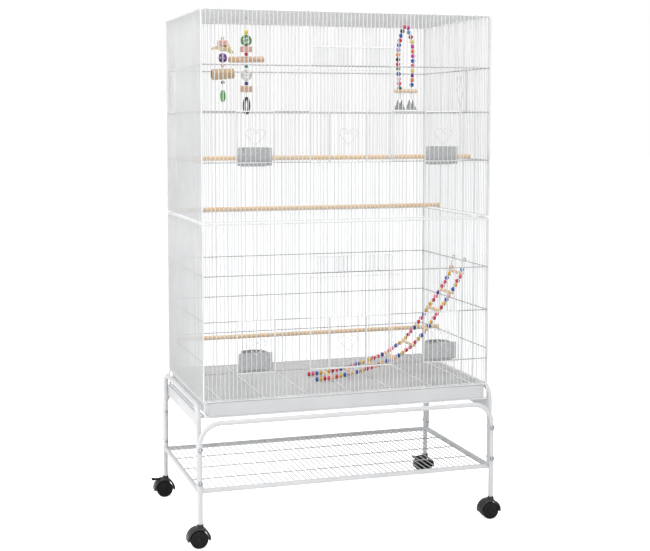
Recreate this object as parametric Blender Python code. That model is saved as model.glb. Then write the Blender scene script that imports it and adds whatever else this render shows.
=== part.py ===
"""Two-tier wire bird cage on a rolling tube stand.

The cage is made of wire panels that clip together, with a pull-out tray under a wire floor,
two drop-down front doors, sliding feeder doors with cups behind them, perches and toys.
The stand is bent steel tube, with a wire shelf and four twin-wheel casters.

Metres, +Z up. X runs to the right, the front faces -Y, and the origin is on the ground
under the middle of the cage.
"""

import itertools
import math
from collections import namedtuple

import bmesh
import bpy
from mathutils import Matrix, Vector

# General clearance between pieces that touch
CLEARANCE = 0.0003

# Cage body, measured over the middles of its corner wires
CAGE_WIDTH = 0.780
CAGE_DEPTH = 0.465
CAGE_HEIGHT = 0.985
CAGE_FLOOR_Z = 0.370
TIER_JOINT = 0.453
TIER_GAP = 0.007

# Wire of the panels
WIRE = 0.0024
WIRE_DEPTH = 0.0022
WIRE_INSET = 0.0004
BAR = 0.0030
RAIL = 0.0040
PANEL_DEPTH = 0.0055
FRONT_GAPS = 72
REAR_GAPS = 72
SIDE_GAPS = 42

# Heights of the lines across the walls, above the cage floor
LOWER_SILL = 0.0708
LOWER_FEEDER_HEAD = 0.203
LOWER_DOOR_HEAD = 0.319
UPPER_SILL = 0.6045
UPPER_FEEDER_HEAD = 0.7325
UPPER_DOOR_HEAD = 0.8485
LOW_SIDE_LINE = 0.098

# How far the main doors reach above the lines at their heads
LOWER_DOOR_LAP = 0.0448
UPPER_DOOR_LAP = 0.0490
Tier = namedtuple("Tier", "name low high sill feeder_head door_head door_lap")
LOWER = Tier("lower", 0.0, TIER_JOINT - TIER_GAP / 2, LOWER_SILL, LOWER_FEEDER_HEAD, LOWER_DOOR_HEAD,
             LOWER_DOOR_LAP)
UPPER = Tier("upper", TIER_JOINT + TIER_GAP / 2, CAGE_HEIGHT, UPPER_SILL, UPPER_FEEDER_HEAD, UPPER_DOOR_HEAD,
             UPPER_DOOR_LAP)

# Main doors
DOOR_HALF_OPENING = 0.108
DOOR_WIDTH = 0.227
DOOR_DEPTH = 0.0040
DOOR_STANDOFF = 0.0012
DOOR_GAPS = 22
LATCH_DROP = 0.011
LATCH_LEFT = 0.041
LATCH_RIGHT = 0.020

# Feeder doors, which slide up, and the side doors of the same make
FEEDER_FROM_SIDE = 0.1355
FEEDER_HALF_OPENING = 0.0485
FEEDER_WIDTH = 0.104
FEEDER_DEPTH = 0.0030
FEEDER_GAPS = 8
FEEDER_STANDOFF = 0.0005
MIDDLE_FEEDER_X = -0.0095
RIGHT_DOOR_Y = -0.023
LEFT_DOOR_Y = 0.139

# Cups behind the outer feeder doors
CUP_FLANGE_WIDTH = 0.090
CUP_WIDTH = 0.064
CUP_HEIGHT = 0.046
CUP_REACH = 0.050
CUP_WALL = 0.0018
CUP_LIP_WIDTH = 0.060
UPPER_CUP_DROP = 0.0085
LOWER_CUP_DROP = -0.0032

# Roof and floor grilles
GRILLE_GAPS = 42
GRILLE_SUPPORTS = 7
GRILLE_SUPPORT_PITCH = 0.115
GRILLE_SEAT = 0.0013

# Tray and the wire base that it slides on
BASE_DROP = 0.039
BASE_WIRE = 0.0040
BASE_SUPPORTS = 5
BASE_SUPPORT_PITCH = 0.131
TRAY_FROM_SIDE = 0.008
TRAY_WALL = 0.0022
TRAY_LIP = 0.0060
TRAY_LIP_HEIGHT = 0.0050

# Perches: place across the depth, and top of the side wall's line that each one lies on
PERCH_RADIUS = 0.0062
PERCHES = (("perch_front", -0.109, UPPER.sill + BAR / 2), ("perch_middle", 0.106, UPPER.low + RAIL / 2),
           ("perch_low", 0.106, LOW_SIDE_LINE + BAR / 2))

# Stand tubes, and how far their legs stand outside the cage's corner wires
TUBE_RADIUS = 0.0065
TUBE_WALL = 0.0010
TUBE_SIDES = 8
LEG_BESIDE_CAGE = 0.0130
LEG_BEFORE_CAGE = 0.0035
END_RAIL_Z = 0.316
END_BEND = 0.055
SIDE_RAIL_Z = 0.360
SIDE_BEND = 0.036
BOLT_Z = (0.1645, 0.250)

# Angle rails that carry the cage
ANGLE_THICKNESS = 0.0013
ANGLE_DROP = 0.031
ANGLE_LEDGE = 0.016
ANGLE_INSET = 0.0007

# Shelf, and the studs on its corners that go up into the side legs
SHELF_Z = 0.1409
SHELF_TUBE = 0.00625
SHELF_CORNER = 0.008
SHELF_GAPS = 50
SHELF_WIRE = 0.0026
SHELF_LONG_WIRES = 3
STUD_TOP_MARGIN = 0.0135

# Bolts
BOLT_RADIUS = 0.0019
BOLT_HEAD_RADIUS = 0.0060
BOLT_HEAD = 0.0038
NUT_RADIUS = 0.0050
NUT = 0.0045

# Casters
LEG_FOOT_Z = 0.060
WHEEL_RADIUS = 0.023
WHEEL_WIDTH = 0.0115
WHEEL_SPAN = 0.030
WHEEL_SIDES = 16
AXLE_RADIUS = 0.0030
TRAIL = 0.005
HOOD_INNER = 0.0255
HOOD_OUTER = 0.0300
HOOD_TIP = 0.0305
HOOD_TIP_DROP = 0.004
HOOD_WIDTH = 0.032
WEB_THICKNESS = 0.0040
WEB_HALF_WIDTH = 0.008
STEM_RADIUS = 0.0050
STEM_RISE = 0.035
BOSS_RADIUS = 0.0085
LEVER_REACH = 0.036
LEVER_ROOT = 0.019
LEVER_THICKNESS = 0.0050
LEVER_WIDTH = 0.016
LEVER_Z = 0.0490

# Toys: how far in from the side walls they hang
TOY_A_FROM_SIDE = 0.108
TOY_B_FROM_SIDE = 0.173
SWING_FROM_SIDE = 0.150
TOY_Y = 0.0
TOY_A_LENGTH = 0.228
TOY_B_LENGTH = 0.258

# Ladder: cross place, half width, rope and rung sizes
LADDER_Y = -0.050
LADDER_HALF_WIDTH = 0.038
LADDER_ROPE = 0.0042
LADDER_RUNG = 0.0045
LADDER_RUNG_OVERHANG = 0.008

# Values that follow from the sizes above
FRONT_FACE = CAGE_DEPTH / 2 + PANEL_DEPTH / 2
SIDE_FACE = CAGE_WIDTH / 2 + PANEL_DEPTH / 2
SIDE_SPAN = CAGE_DEPTH - PANEL_DEPTH - 2 * CLEARANCE
FEEDER_CENTRE = CAGE_WIDTH / 2 - FEEDER_FROM_SIDE
TOY_A_X = TOY_A_FROM_SIDE - CAGE_WIDTH / 2
TOY_B_X = TOY_B_FROM_SIDE - CAGE_WIDTH / 2
SWING_X = CAGE_WIDTH / 2 - SWING_FROM_SIDE
LEG_X = CAGE_WIDTH / 2 + LEG_BESIDE_CAGE
LEG_Y = CAGE_DEPTH / 2 + LEG_BEFORE_CAGE
SIDE_LEG_Y =LEG_Y - 2 * TUBE_RADIUS - CLEARANCE
SIDE_LEG_FOOT_Z = SHELF_Z + SHELF_TUBE + CLEARANCE
STUD_RADIUS = TUBE_RADIUS - TUBE_WALL - 2 * CLEARANCE
BASE_Z = CAGE_FLOOR_Z - BASE_DROP
TRAY_BOTTOM = BASE_Z + BASE_WIRE / 2 + CLEARANCE
TRAY_TOP = CAGE_FLOOR_Z - RAIL / 2 - CLEARANCE
ROOF_Z = CAGE_FLOOR_Z + CAGE_HEIGHT

for old in list(bpy.data.objects):
    bpy.data.objects.remove(old, do_unlink=True)

ORIGINS = {}


def material(name, colour, roughness, metallic=0.0):
    """A Principled material of one colour."""
    result = bpy.data.materials.new(name)
    result.use_nodes = True
    shader = result.node_tree.nodes["Principled BSDF"]
    shader.inputs["Base Color"].default_value = (*colour, 1.0)
    shader.inputs["Roughness"].default_value = roughness
    shader.inputs["Metallic"].default_value = metallic
    return result


def mesh_of(bm):
    """The bmesh as a mesh, with its faces turned outwards."""
    bmesh.ops.recalc_face_normals(bm, faces=bm.faces)
    mesh = bpy.data.meshes.new("shape")
    bm.to_mesh(mesh)
    bm.free()
    return mesh


def place(name, mesh, finish, origin=(0, 0, 0), parent=None, smooth=False):
    """Name a mesh given in world coordinates as one piece with its origin at a point."""
    mesh.transform(Matrix.Translation(-Vector(origin)))
    mesh.name = name
    if smooth:
        mesh.shade_smooth()
        mesh.set_sharp_from_angle(angle=math.radians(40))
    mesh.materials.clear()
    mesh.materials.append(finish)
    piece = bpy.data.objects.new(name, mesh)
    bpy.context.scene.collection.objects.link(piece)
    ORIGINS[name] = Vector(origin)
    piece.location = origin
    if parent:
        piece.parent = parent
        piece.location = ORIGINS[name] - ORIGINS[parent.name]
    return piece


def worked(base, *tools):
    """The base mesh after exact Booleans with (operation, mesh) tools."""
    holder = bpy.data.objects.new("holder", base)
    bpy.context.scene.collection.objects.link(holder)
    helpers = [holder]
    for operation, mesh in tools:
        tool = bpy.data.objects.new("tool", mesh)
        bpy.context.scene.collection.objects.link(tool)
        helpers.append(tool)
        cut = holder.modifiers.new("cut", "BOOLEAN")
        cut.operation = operation
        cut.solver = "EXACT"
        cut.object = tool
    graph = bpy.context.evaluated_depsgraph_get()
    result = bpy.data.meshes.new_from_object(holder.evaluated_get(graph))
    for helper in helpers:
        bpy.data.objects.remove(helper, do_unlink=True)
    return result


def turned(mesh, quarter_turns):
    """Turn a mesh about the vertical axis."""
    mesh.transform(Matrix.Rotation(quarter_turns * math.pi / 2, 4, "Z"))
    return mesh


def fused_boxes(boxes):
    """One closed mesh: the union of boxes given by their low and high corners."""
    cuts = [sorted({round(corner[axis], 7) for box in boxes for corner in box}) for axis in range(3)]
    filled = set()
    for low, high in boxes:
        spans = []
        for axis in range(3):
            first = cuts[axis].index(round(low[axis], 7))
            last = cuts[axis].index(round(high[axis], 7))
            spans.append(range(first, last))
        filled.update(itertools.product(*spans))
    bm = bmesh.new()
    made = {}

    def vertex(index):
        if index not in made:
            made[index] = bm.verts.new([cuts[axis][index[axis]] for axis in range(3)])
        return made[index]

    for cell in sorted(filled):
        for axis, step in itertools.product(range(3), (-1, 1)):
            beside = list(cell)
            beside[axis] += step
            if tuple(beside) in filled:
                continue
            across, along = (axis + 1) % 3, (axis + 2) % 3
            ring = []
            for da, db in ((0, 0), (1, 0), (1, 1), (0, 1)):
                corner = list(cell)
                corner[axis] += max(step, 0)
                corner[across] += da
                corner[along] += db
                ring.append(vertex(tuple(corner)))
            bm.faces.new(ring if step > 0 else reversed(ring))
    return mesh_of(bm)


def box(x0, x1, y0, y1, z0, z1):
    """A box as its low and high corners."""
    return ((x0, y0, z0), (x1, y1, z1))


def wires(spans, half, base, ridge, run_axis, place_axis, depth_axis):
    """Three-sided wires along one axis; each span is (place, start, end)."""
    bm = bmesh.new()
    for middle, start, end in spans:
        rings = []
        for at in (start, end):
            ring = []
            for offset, depth in ((-half, base), (half, base), (0.0, ridge)):
                point = [0.0, 0.0, 0.0]
                point[run_axis] = at
                point[place_axis] = middle + offset
                point[depth_axis] = depth
                ring.append(bm.verts.new(point))
            rings.append(ring)
        first, last = rings
        bm.faces.new(first)
        bm.faces.new(reversed(last))
        for k in range(3):
            nxt = (k + 1) % 3
            bm.faces.new((first[k], last[k], last[nxt], first[nxt]))
    return mesh_of(bm)


def outline_prism(points, axis, low, high):
    """Extrude a closed outline; points are its two other coordinates, in X, Y, Z order."""
    bm = bmesh.new()
    rings = []
    for level in (low, high):
        ring = []
        for point in points:
            place_at = list(point)
            place_at.insert(axis, level)
            ring.append(bm.verts.new(place_at))
        rings.append(ring)
    count = len(points)
    bm.faces.new(rings[0])
    bm.faces.new(rings[1])
    for k in range(count):
        nxt = (k + 1) % count
        bm.faces.new((rings[0][k], rings[0][nxt], rings[1][nxt], rings[1][k]))
    return mesh_of(bm)


def lathe(profile, centre, axis, sides, flats=False):
    """A turned solid: profile holds (distance along the axis, radius) from end to end."""
    bm = bmesh.new()
    grow = 1 / math.cos(math.pi / sides) if flats else 1.0
    others = [k for k in range(3) if k != axis]
    rings = []
    for along, radius in profile:
        ring = []
        for k in range(sides):
            angle = 2 * math.pi * (k + 0.5) / sides
            point = list(centre)
            point[axis] += along
            point[others[0]] += radius * grow * math.cos(angle)
            point[others[1]] += radius * grow * math.sin(angle)
            ring.append(bm.verts.new(point))
        rings.append(ring)
    join_rings(bm, rings)
    return mesh_of(bm)


def join_rings(bm, rings, closed=False):
    """Skin a row of rings, with flat ends unless the row closes on itself."""
    count = len(rings[0])
    pairs = list(zip(rings, rings[1:]))
    if closed:
        pairs.append((rings[-1], rings[0]))
    else:
        bm.faces.new(rings[0])
        bm.faces.new(rings[-1])
    for ring, following in pairs:
        for k in range(count):
            nxt = (k + 1) % count
            bm.faces.new((ring[k], ring[nxt], following[nxt], following[k]))


def path_rings(bm, points, normal, radii, sides, closed=False):
    """Rings square to a flat path whose plane has the given normal; radii are across flats."""
    normal = Vector(normal)
    points = [Vector(point) for point in points]
    count = len(points)
    grow = 1 / math.cos(math.pi / sides)
    rings = []
    for index, point in enumerate(points):
        before = points[index - 1] if index or closed else None
        after = points[(index + 1) % count] if index < count - 1 or closed else None
        runs = []
        if before is not None:
            runs.append((point - before).normalized())
        if after is not None:
            runs.append((after - point).normalized())
        sideways = [normal.cross(run) for run in runs]
        mitre = sum(sideways, Vector()) / len(sideways)
        mitre = mitre / mitre.length_squared
        ring = []
        for k in range(sides):
            angle = 2 * math.pi * (k + 0.5) / sides
            reach = radii[index] * grow
            offset = mitre * math.cos(angle) * reach + normal * math.sin(angle) * reach
            ring.append(bm.verts.new(point + offset))
        rings.append(ring)
    return rings


def tube(points, normal, radius, wall, sides):
    """An open tube along a flat path."""
    bm = bmesh.new()
    outer = path_rings(bm, points, normal, [radius] * len(points), sides)
    inner = path_rings(bm, points, normal, [radius - wall] * len(points), sides)
    for shell in (outer, inner):
        for ring, following in zip(shell, shell[1:]):
            for k in range(sides):
                nxt = (k + 1) % sides
                bm.faces.new((ring[k], ring[nxt], following[nxt], following[k]))
    for end in (0, -1):
        for k in range(sides):
            nxt = (k + 1) % sides
            bm.faces.new((outer[end][k], outer[end][nxt], inner[end][nxt], inner[end][k]))
    return mesh_of(bm)


def rod(points, normal, radii, sides, closed=False):
    """A solid rod along a flat path, with a radius at each point."""
    bm = bmesh.new()
    join_rings(bm, path_rings(bm, points, normal, radii, sides, closed), closed)
    return mesh_of(bm)


def arc(centre, radius, start, end, steps):
    """Points of an arc as (across, up) pairs; angles in degrees."""
    points = []
    for k in range(steps + 1):
        angle = math.radians(start + (end - start) * k / steps)
        points.append((centre[0] + radius * math.cos(angle), centre[1] + radius * math.sin(angle)))
    return points


def nearest_wire(place_at, span, gaps):
    """The panel wire nearest to a place, as its distance from the panel's middle."""
    pitch = span / gaps
    return round(place_at / pitch) * pitch


WHITE = material("white_powder_coat", (0.80, 0.80, 0.79), 0.38)
TRAY_PLASTIC = material("tray_plastic", (0.66, 0.66, 0.66), 0.45)
CUP_PLASTIC = material("cup_plastic", (0.56, 0.57, 0.58), 0.35)
WOOD = material("natural_wood", (0.66, 0.46, 0.29), 0.60)
BLACK_PLASTIC = material("caster_plastic", (0.035, 0.035, 0.038), 0.42)
STEEL = material("zinc_steel", (0.55, 0.55, 0.56), 0.35, 1.0)
TOY_COLOURS = material("toy_beads", (0.30, 0.42, 0.22), 0.40)
TOY_ROPE = material("toy_rope", (0.62, 0.45, 0.30), 0.75)


# Wall panels. Each is drawn as a front panel, outer face at y = 0, and then turned into place.

Opening = namedtuple("Opening", "left right sill head")


def wall_panel(span, gaps, low, high, lines, openings):
    """A panel of upright wires between rails, with lines across it and framed openings."""
    pitch = span / gaps
    half = span / 2
    reach = half + RAIL / 2
    bars_from = PANEL_DEPTH - BAR + WIRE_INSET
    boxes = [
        box(-reach, -half + RAIL / 2, 0, PANEL_DEPTH, low - RAIL / 2, high + RAIL / 2),
        box(half - RAIL / 2, reach, 0, PANEL_DEPTH, low - RAIL / 2, high + RAIL / 2),
        box(-reach, reach, 0, PANEL_DEPTH, low - RAIL / 2, low + RAIL / 2),
        box(-reach, reach, 0, PANEL_DEPTH, high - RAIL / 2, high + RAIL / 2),
    ]
    for line in lines:
        starts = [-reach]
        ends = []
        for hole in sorted(openings):
            if hole.sill + BAR < line < hole.head - BAR:
                ends.append(hole.left)
                starts.append(hole.right)
        ends.append(reach)
        for start, end in zip(starts, ends):
            boxes.append(box(start, end, bars_from, PANEL_DEPTH, line - BAR / 2, line + BAR / 2))
    for hole in openings:
        for edge in (hole.left, hole.right):
            boxes.append(box(edge - BAR / 2, edge + BAR / 2, 0, PANEL_DEPTH,
                             hole.sill - BAR / 2, hole.head + BAR / 2))
        for edge in (hole.sill, hole.head):
            boxes.append(box(hole.left - BAR / 2, hole.right + BAR / 2, 0, PANEL_DEPTH,
                             edge - BAR / 2, edge + BAR / 2))
    spans = []
    for index in range(1, gaps):
        at = -half + index * pitch
        breaks = [low]
        for hole in sorted(openings, key=lambda hole: hole.sill):
            if hole.left - BAR / 2 < at < hole.right + BAR / 2:
                breaks.extend((hole.sill, hole.head))
        breaks.append(high)
        for start, end in zip(breaks[::2], breaks[1::2]):
            spans.append((at, start, end))
    upright = wires(spans, WIRE / 2, WIRE_INSET, WIRE_INSET + WIRE_DEPTH, 2, 0, 1)
    return worked(fused_boxes(boxes), ("UNION", upright))


def stand_up(mesh, quarter_turns, outer_distance):
    """Move a panel drawn at y = 0 out to its wall, and turn it to its side of the cage."""
    mesh.transform(Matrix.Translation((0, -outer_distance, CAGE_FLOOR_Z)))
    return turned(mesh, quarter_turns)


def snapped_opening(middle, half, span, gaps, sill, head):
    """An opening whose sides stand where panel wires would be."""
    left = nearest_wire(middle - half, span, gaps)
    right = nearest_wire(middle + half, span, gaps)
    return Opening(left, right, sill, head)


def front_openings(tier):
    """The door opening and the two feeder openings of a front panel."""
    holes = [snapped_opening(0.0, DOOR_HALF_OPENING, CAGE_WIDTH, FRONT_GAPS, tier.sill, tier.door_head)]
    for side in (-1, 1):
        holes.append(snapped_opening(side * FEEDER_CENTRE, FEEDER_HALF_OPENING, CAGE_WIDTH,
                                     FRONT_GAPS, tier.sill, tier.feeder_head))
    return holes


def side_opening(middle):
    """The side door's opening, in the side panel's own left and right."""
    return snapped_opening(middle, FEEDER_HALF_OPENING, SIDE_SPAN - RAIL, SIDE_GAPS,
                           UPPER.feeder_head, UPPER.door_head)


for tier in (LOWER, UPPER):
    lines = (tier.sill, tier.feeder_head, tier.door_head)
    front = wall_panel(CAGE_WIDTH, FRONT_GAPS, tier.low, tier.high, lines, front_openings(tier))
    place(f"front_panel_{tier.name}", stand_up(front, 0, FRONT_FACE), WHITE)
    if tier is LOWER:
        lines = (LOW_SIDE_LINE, tier.feeder_head, tier.door_head)
    rear = wall_panel(CAGE_WIDTH, REAR_GAPS, tier.low, tier.high, lines, [])
    place(f"rear_panel_{tier.name}", stand_up(rear, 2, FRONT_FACE), WHITE)
    for side, quarter_turns, middle in (("right", 1, RIGHT_DOOR_Y), ("left", 3, -LEFT_DOOR_Y)):
        holes = [side_opening(middle)] if tier is UPPER else []
        wall = wall_panel(SIDE_SPAN - RAIL, SIDE_GAPS, tier.low, tier.high, lines, holes)
        place(f"{side}_panel_{tier.name}", stand_up(wall, quarter_turns, SIDE_FACE), WHITE)


# Roof and floor grilles: fine wires along X, with supports above them whose ends rest on the walls.

def flat_grille(seat_z):
    """A grille hung from supports that lie on the front and rear rails at seat_z."""
    half_x = CAGE_WIDTH / 2 - PANEL_DEPTH / 2 - CLEARANCE - RAIL / 2
    half_y = CAGE_DEPTH / 2 - PANEL_DEPTH / 2 - CLEARANCE - RAIL / 2
    support_low = seat_z + CLEARANCE
    support_high = support_low + BAR
    frame_low = support_low - CLEARANCE - WIRE_DEPTH - WIRE_INSET
    boxes = []
    for side in (-1, 1):
        boxes.append(box(side * half_x - RAIL / 2, side * half_x + RAIL / 2,
                         -half_y - RAIL / 2, half_y + RAIL / 2, frame_low, support_high))
        boxes.append(box(-half_x - RAIL / 2, half_x + RAIL / 2,
                         side * half_y - RAIL / 2, side * half_y + RAIL / 2, frame_low, support_high))
    reach = half_y + RAIL / 2 + CLEARANCE + GRILLE_SEAT
    for index in range(GRILLE_SUPPORTS):
        at = (index - (GRILLE_SUPPORTS - 1) / 2) * GRILLE_SUPPORT_PITCH
        boxes.append(box(at - BAR / 2, at + BAR / 2, -reach, reach, support_low, support_high))
    pitch = 2 * half_y / GRILLE_GAPS
    spans = [(-half_y + index * pitch, -half_x, half_x) for index in range(1, GRILLE_GAPS)]
    wire_top = support_low - CLEARANCE
    fine = wires(spans, WIRE / 2, wire_top, wire_top - WIRE_DEPTH, 0, 1, 2)
    return worked(fused_boxes(boxes), ("UNION", fine))


place("roof_grille", flat_grille(ROOF_Z + RAIL / 2), WHITE)
place("floor_grille", flat_grille(CAGE_FLOOR_Z + RAIL / 2), WHITE)


# Wire base: a rectangle that the tray slides on, with corner uprights under the wall panels.

def wire_base():
    half_x = CAGE_WIDTH / 2
    half_y = CAGE_DEPTH / 2
    half = BASE_WIRE / 2
    top = CAGE_FLOOR_Z - RAIL / 2 - CLEARANCE
    boxes = []
    for side in (-1, 1):
        boxes.append(box(side * half_x - half, side * half_x + half, -half_y - half, half_y + half,
                         BASE_Z - half, BASE_Z + half))
        boxes.append(box(-half_x - half, half_x + half, side * half_y - half, side * half_y + half,
                         BASE_Z - half, BASE_Z + half))
        for end in (-1, 1):
            boxes.append(box(side * half_x - half, side * half_x + half,
                             end * half_y - half, end * half_y + half, BASE_Z - half, top))
    for index in range(BASE_SUPPORTS):
        at = (index - (BASE_SUPPORTS - 1) / 2) * BASE_SUPPORT_PITCH
        boxes.append(box(at - half, at + half, -half_y - half, half_y + half, BASE_Z - half, BASE_Z + half))
    return fused_boxes(boxes)


place("wire_base", wire_base(), WHITE)


# Tray: a shallow box with a thick front lip, which pulls out forwards.

def tray():
    half_x = CAGE_WIDTH / 2 - TRAY_FROM_SIDE
    front = -FRONT_FACE
    rear = CAGE_DEPTH / 2 - BASE_WIRE / 2 - CLEARANCE
    boxes = [box(-half_x, half_x, front, rear, TRAY_BOTTOM, TRAY_BOTTOM + TRAY_WALL)]
    for side in (-1, 1):
        edge = side * half_x
        boxes.append(box(min(edge, edge - side * TRAY_WALL), max(edge, edge - side * TRAY_WALL),
                         front, rear, TRAY_BOTTOM, TRAY_TOP))
    boxes.append(box(-half_x, half_x, front, front + TRAY_WALL, TRAY_BOTTOM, TRAY_TOP))
    boxes.append(box(-half_x, half_x, rear - TRAY_WALL, rear, TRAY_BOTTOM, TRAY_TOP))
    boxes.append(box(-half_x, half_x, front, front + TRAY_LIP, TRAY_TOP - TRAY_LIP_HEIGHT, TRAY_TOP))
    return fused_boxes(boxes)


place("tray", tray(), TRAY_PLASTIC)


# Doors. A main door drops down about its bottom rail, and feeder doors slide up.

def grille_door(middle, width, gaps, low, high, front, back, hole=None, latches=()):
    """A framed grille door between two depths, with an optional opening and side latches."""
    left = middle - width / 2
    right = middle + width / 2
    boxes = [
        box(left, left + BAR, front, back, low, high),
        box(right - BAR, right, front, back, low, high),
        box(left, right, front, back, low, low + RAIL),
        box(left, right, front, back, high - BAR, high),
    ]
    for z in latches:
        boxes.append(box(left - LATCH_LEFT, right + LATCH_RIGHT, front, front + WIRE, z, z + WIRE))
    spans = []
    inner = width - BAR
    for index in range(1, gaps):
        at = middle - inner / 2 + index * inner / gaps
        start = low + RAIL / 2
        end = high - BAR / 2
        if hole and hole.left - BAR / 2 < at < hole.right + BAR / 2:
            start = hole.head
        spans.append((at, start, end))
    if hole:
        for edge in (hole.left, hole.right):
            boxes.append(box(edge - BAR / 2, edge + BAR / 2, front, back, low, hole.head + BAR / 2))
        boxes.append(box(left, right, front, back, hole.head - BAR / 2, hole.head + BAR / 2))
    ridge = back - WIRE_INSET
    base = ridge - WIRE_DEPTH
    if latches:
        base = front + WIRE + CLEARANCE
    return worked(fused_boxes(boxes), ("UNION", wires(spans, WIRE / 2, base, ridge, 2, 0, 1)))


def door_hole(tier):
    """The feeder opening in a main door, on the door's own wires."""
    inner = DOOR_WIDTH - BAR
    left = nearest_wire(MIDDLE_FEEDER_X - FEEDER_HALF_OPENING, inner, DOOR_GAPS)
    right = nearest_wire(MIDDLE_FEEDER_X + FEEDER_HALF_OPENING, inner, DOOR_GAPS)
    return Opening(left, right, tier.sill, CAGE_FLOOR_Z + tier.feeder_head)


def feeder_door(tier, middle, back):
    low = CAGE_FLOOR_Z + tier.sill - RAIL / 2
    high = CAGE_FLOOR_Z + tier.feeder_head + RAIL / 2
    return grille_door(middle, FEEDER_WIDTH, FEEDER_GAPS, low, high, back - FEEDER_DEPTH, back)


for tier in (LOWER, UPPER):
    sill_z = CAGE_FLOOR_Z + tier.sill
    door_back = -FRONT_FACE - DOOR_STANDOFF
    door_front = door_back - DOOR_DEPTH
    low = sill_z - RAIL / 2
    head_z = CAGE_FLOOR_Z + tier.door_head
    door = place(f"main_door_{tier.name}",
                 grille_door(0.0, DOOR_WIDTH, DOOR_GAPS, low, head_z + tier.door_lap, door_front, door_back,
                             door_hole(tier), (head_z - LATCH_DROP,)),
                 WHITE, origin=(0, (door_front + door_back) / 2, sill_z))
    middle_back = door_front - FEEDER_STANDOFF
    place(f"feeder_door_middle_{tier.name}", feeder_door(tier, MIDDLE_FEEDER_X, middle_back), WHITE,
          origin=(MIDDLE_FEEDER_X, middle_back, sill_z), parent=door)
    for side, sign in (("left", -1), ("right", 1)):
        back = -FRONT_FACE - FEEDER_STANDOFF
        at = sign * FEEDER_CENTRE
        place(f"feeder_door_{side}_{tier.name}", feeder_door(tier, at, back), WHITE,
              origin=(at, back, sill_z))


def side_door(quarter_turns, middle):
    back = -SIDE_FACE - FEEDER_STANDOFF
    low = CAGE_FLOOR_Z + UPPER.feeder_head - RAIL / 2
    high = CAGE_FLOOR_Z + UPPER.door_head + RAIL / 2
    mesh = grille_door(middle, FEEDER_WIDTH, FEEDER_GAPS, low, high, back - FEEDER_DEPTH, back)
    return turned(mesh, quarter_turns)


for side, quarter_turns, direction, y in (("right", 1, 1, RIGHT_DOOR_Y), ("left", 3, -1, LEFT_DOOR_Y)):
    place(f"side_door_{side}", side_door(quarter_turns, direction * y), WHITE,
          origin=(direction * SIDE_FACE, y, CAGE_FLOOR_Z + UPPER.feeder_head))


# Cups: a back plate behind the wires, a lip over the sill, and an open bowl inside the cage.

def cup(middle, sill_z, drop):
    face = -FRONT_FACE + PANEL_DEPTH + CLEARANCE
    low = sill_z - drop
    high = low + CUP_HEIGHT
    half = CUP_WIDTH / 2
    lip_low = sill_z + BAR / 2 + CLEARANCE
    lip_front = -FRONT_FACE + CLEARANCE
    shell = fused_boxes([
        box(middle - CUP_FLANGE_WIDTH / 2, middle + CUP_FLANGE_WIDTH / 2, face, face + CUP_WALL, low, high),
        box(middle - CUP_LIP_WIDTH / 2, middle + CUP_LIP_WIDTH / 2, lip_front, face + CUP_WALL,
            lip_low, lip_low + CUP_WALL),
    ])

    def bowl(inset, bottom, top):
        radius = half - inset
        centre_y = face + CUP_REACH - half
        points = [(middle - radius, face + inset), (middle + radius, face + inset)]
        points += arc((middle, centre_y), radius, 0, 180, 8)
        return outline_prism(points, 2, bottom, top)

    return worked(shell, ("UNION", bowl(0.0, low, high)),
                  ("DIFFERENCE", bowl(CUP_WALL, low + CUP_WALL, high + CUP_WALL)))


for tier, drop in ((LOWER, LOWER_CUP_DROP), (UPPER, UPPER_CUP_DROP)):
    for side, sign in (("left", -1), ("right", 1)):
        place(f"cup_{side}_{tier.name}", cup(sign * FEEDER_CENTRE, CAGE_FLOOR_Z + tier.sill, drop),
              CUP_PLASTIC)


# Perches: dowels from side wall to side wall.

for name, y, line_top in PERCHES:
    half = SIDE_FACE - WIRE_INSET - WIRE_DEPTH - CLEARANCE
    height = CAGE_FLOOR_Z + line_top + CLEARANCE + PERCH_RADIUS
    dowel = lathe([(-half, PERCH_RADIUS), (half, PERCH_RADIUS)], (0, y, height), 0, 8, flats=True)
    place(name, dowel, WOOD, smooth=True)


# Toys that hang from the roof grille. Each is a string with stacked beads and blocks, drawn as
# (drop below the roof, half width, half depth) from the top down.

HOOK_Z = ROOF_Z + RAIL / 2 - WIRE_DEPTH / 2
TOY_TOP = HOOK_Z - 0.0035
STRING = 0.0012


def bead(middle, radius, half_height):
    """Levels of one round bead."""
    end = radius * 0.4
    return [(middle - half_height, end, end), (middle, radius, radius), (middle + half_height, end, end)]


def block(middle, half_width, half_depth, half_height):
    """Levels of one square-ended block."""
    return [(middle - half_height, half_width, half_depth), (middle + half_height, half_width, half_depth)]


def ball(middle, radius):
    """Levels of one ball."""
    levels = []
    for angle in (-67.5, -30, 30, 67.5):
        width = radius * math.cos(math.radians(angle))
        levels.append((middle + radius * math.sin(math.radians(angle)), width, width))
    return levels


def bundle(middle, half_length, radius):
    """Levels of one bundle that lies along X."""
    return [(middle - radius, half_length, radius * 0.4), (middle - radius * 0.4, half_length, radius),
            (middle + radius * 0.4, half_length, radius), (middle + radius, half_length, radius * 0.4)]


def hanging_toy(x, y, parts, drop):
    """One closed column of parts on a string."""
    levels = [(0.0, STRING, STRING)]
    for part in parts:
        levels.append((part[0][0] - CLEARANCE, STRING, STRING))
        levels.extend(part)
        levels.append((part[-1][0] + CLEARANCE, STRING, STRING))
    levels.append((drop, STRING, STRING))
    bm = bmesh.new()
    rings = []
    for down, half_x, half_y in levels:
        ring = []
        for k in range(6):
            angle = 2 * math.pi * (k + 0.5) / 6
            ring.append(bm.verts.new((x + half_x * math.cos(angle), y + half_y * math.sin(angle),
                                      TOY_TOP - down)))
        rings.append(ring)
    join_rings(bm, rings)
    bmesh.ops.triangulate(bm, faces=bm.faces)
    return mesh_of(bm)


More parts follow.
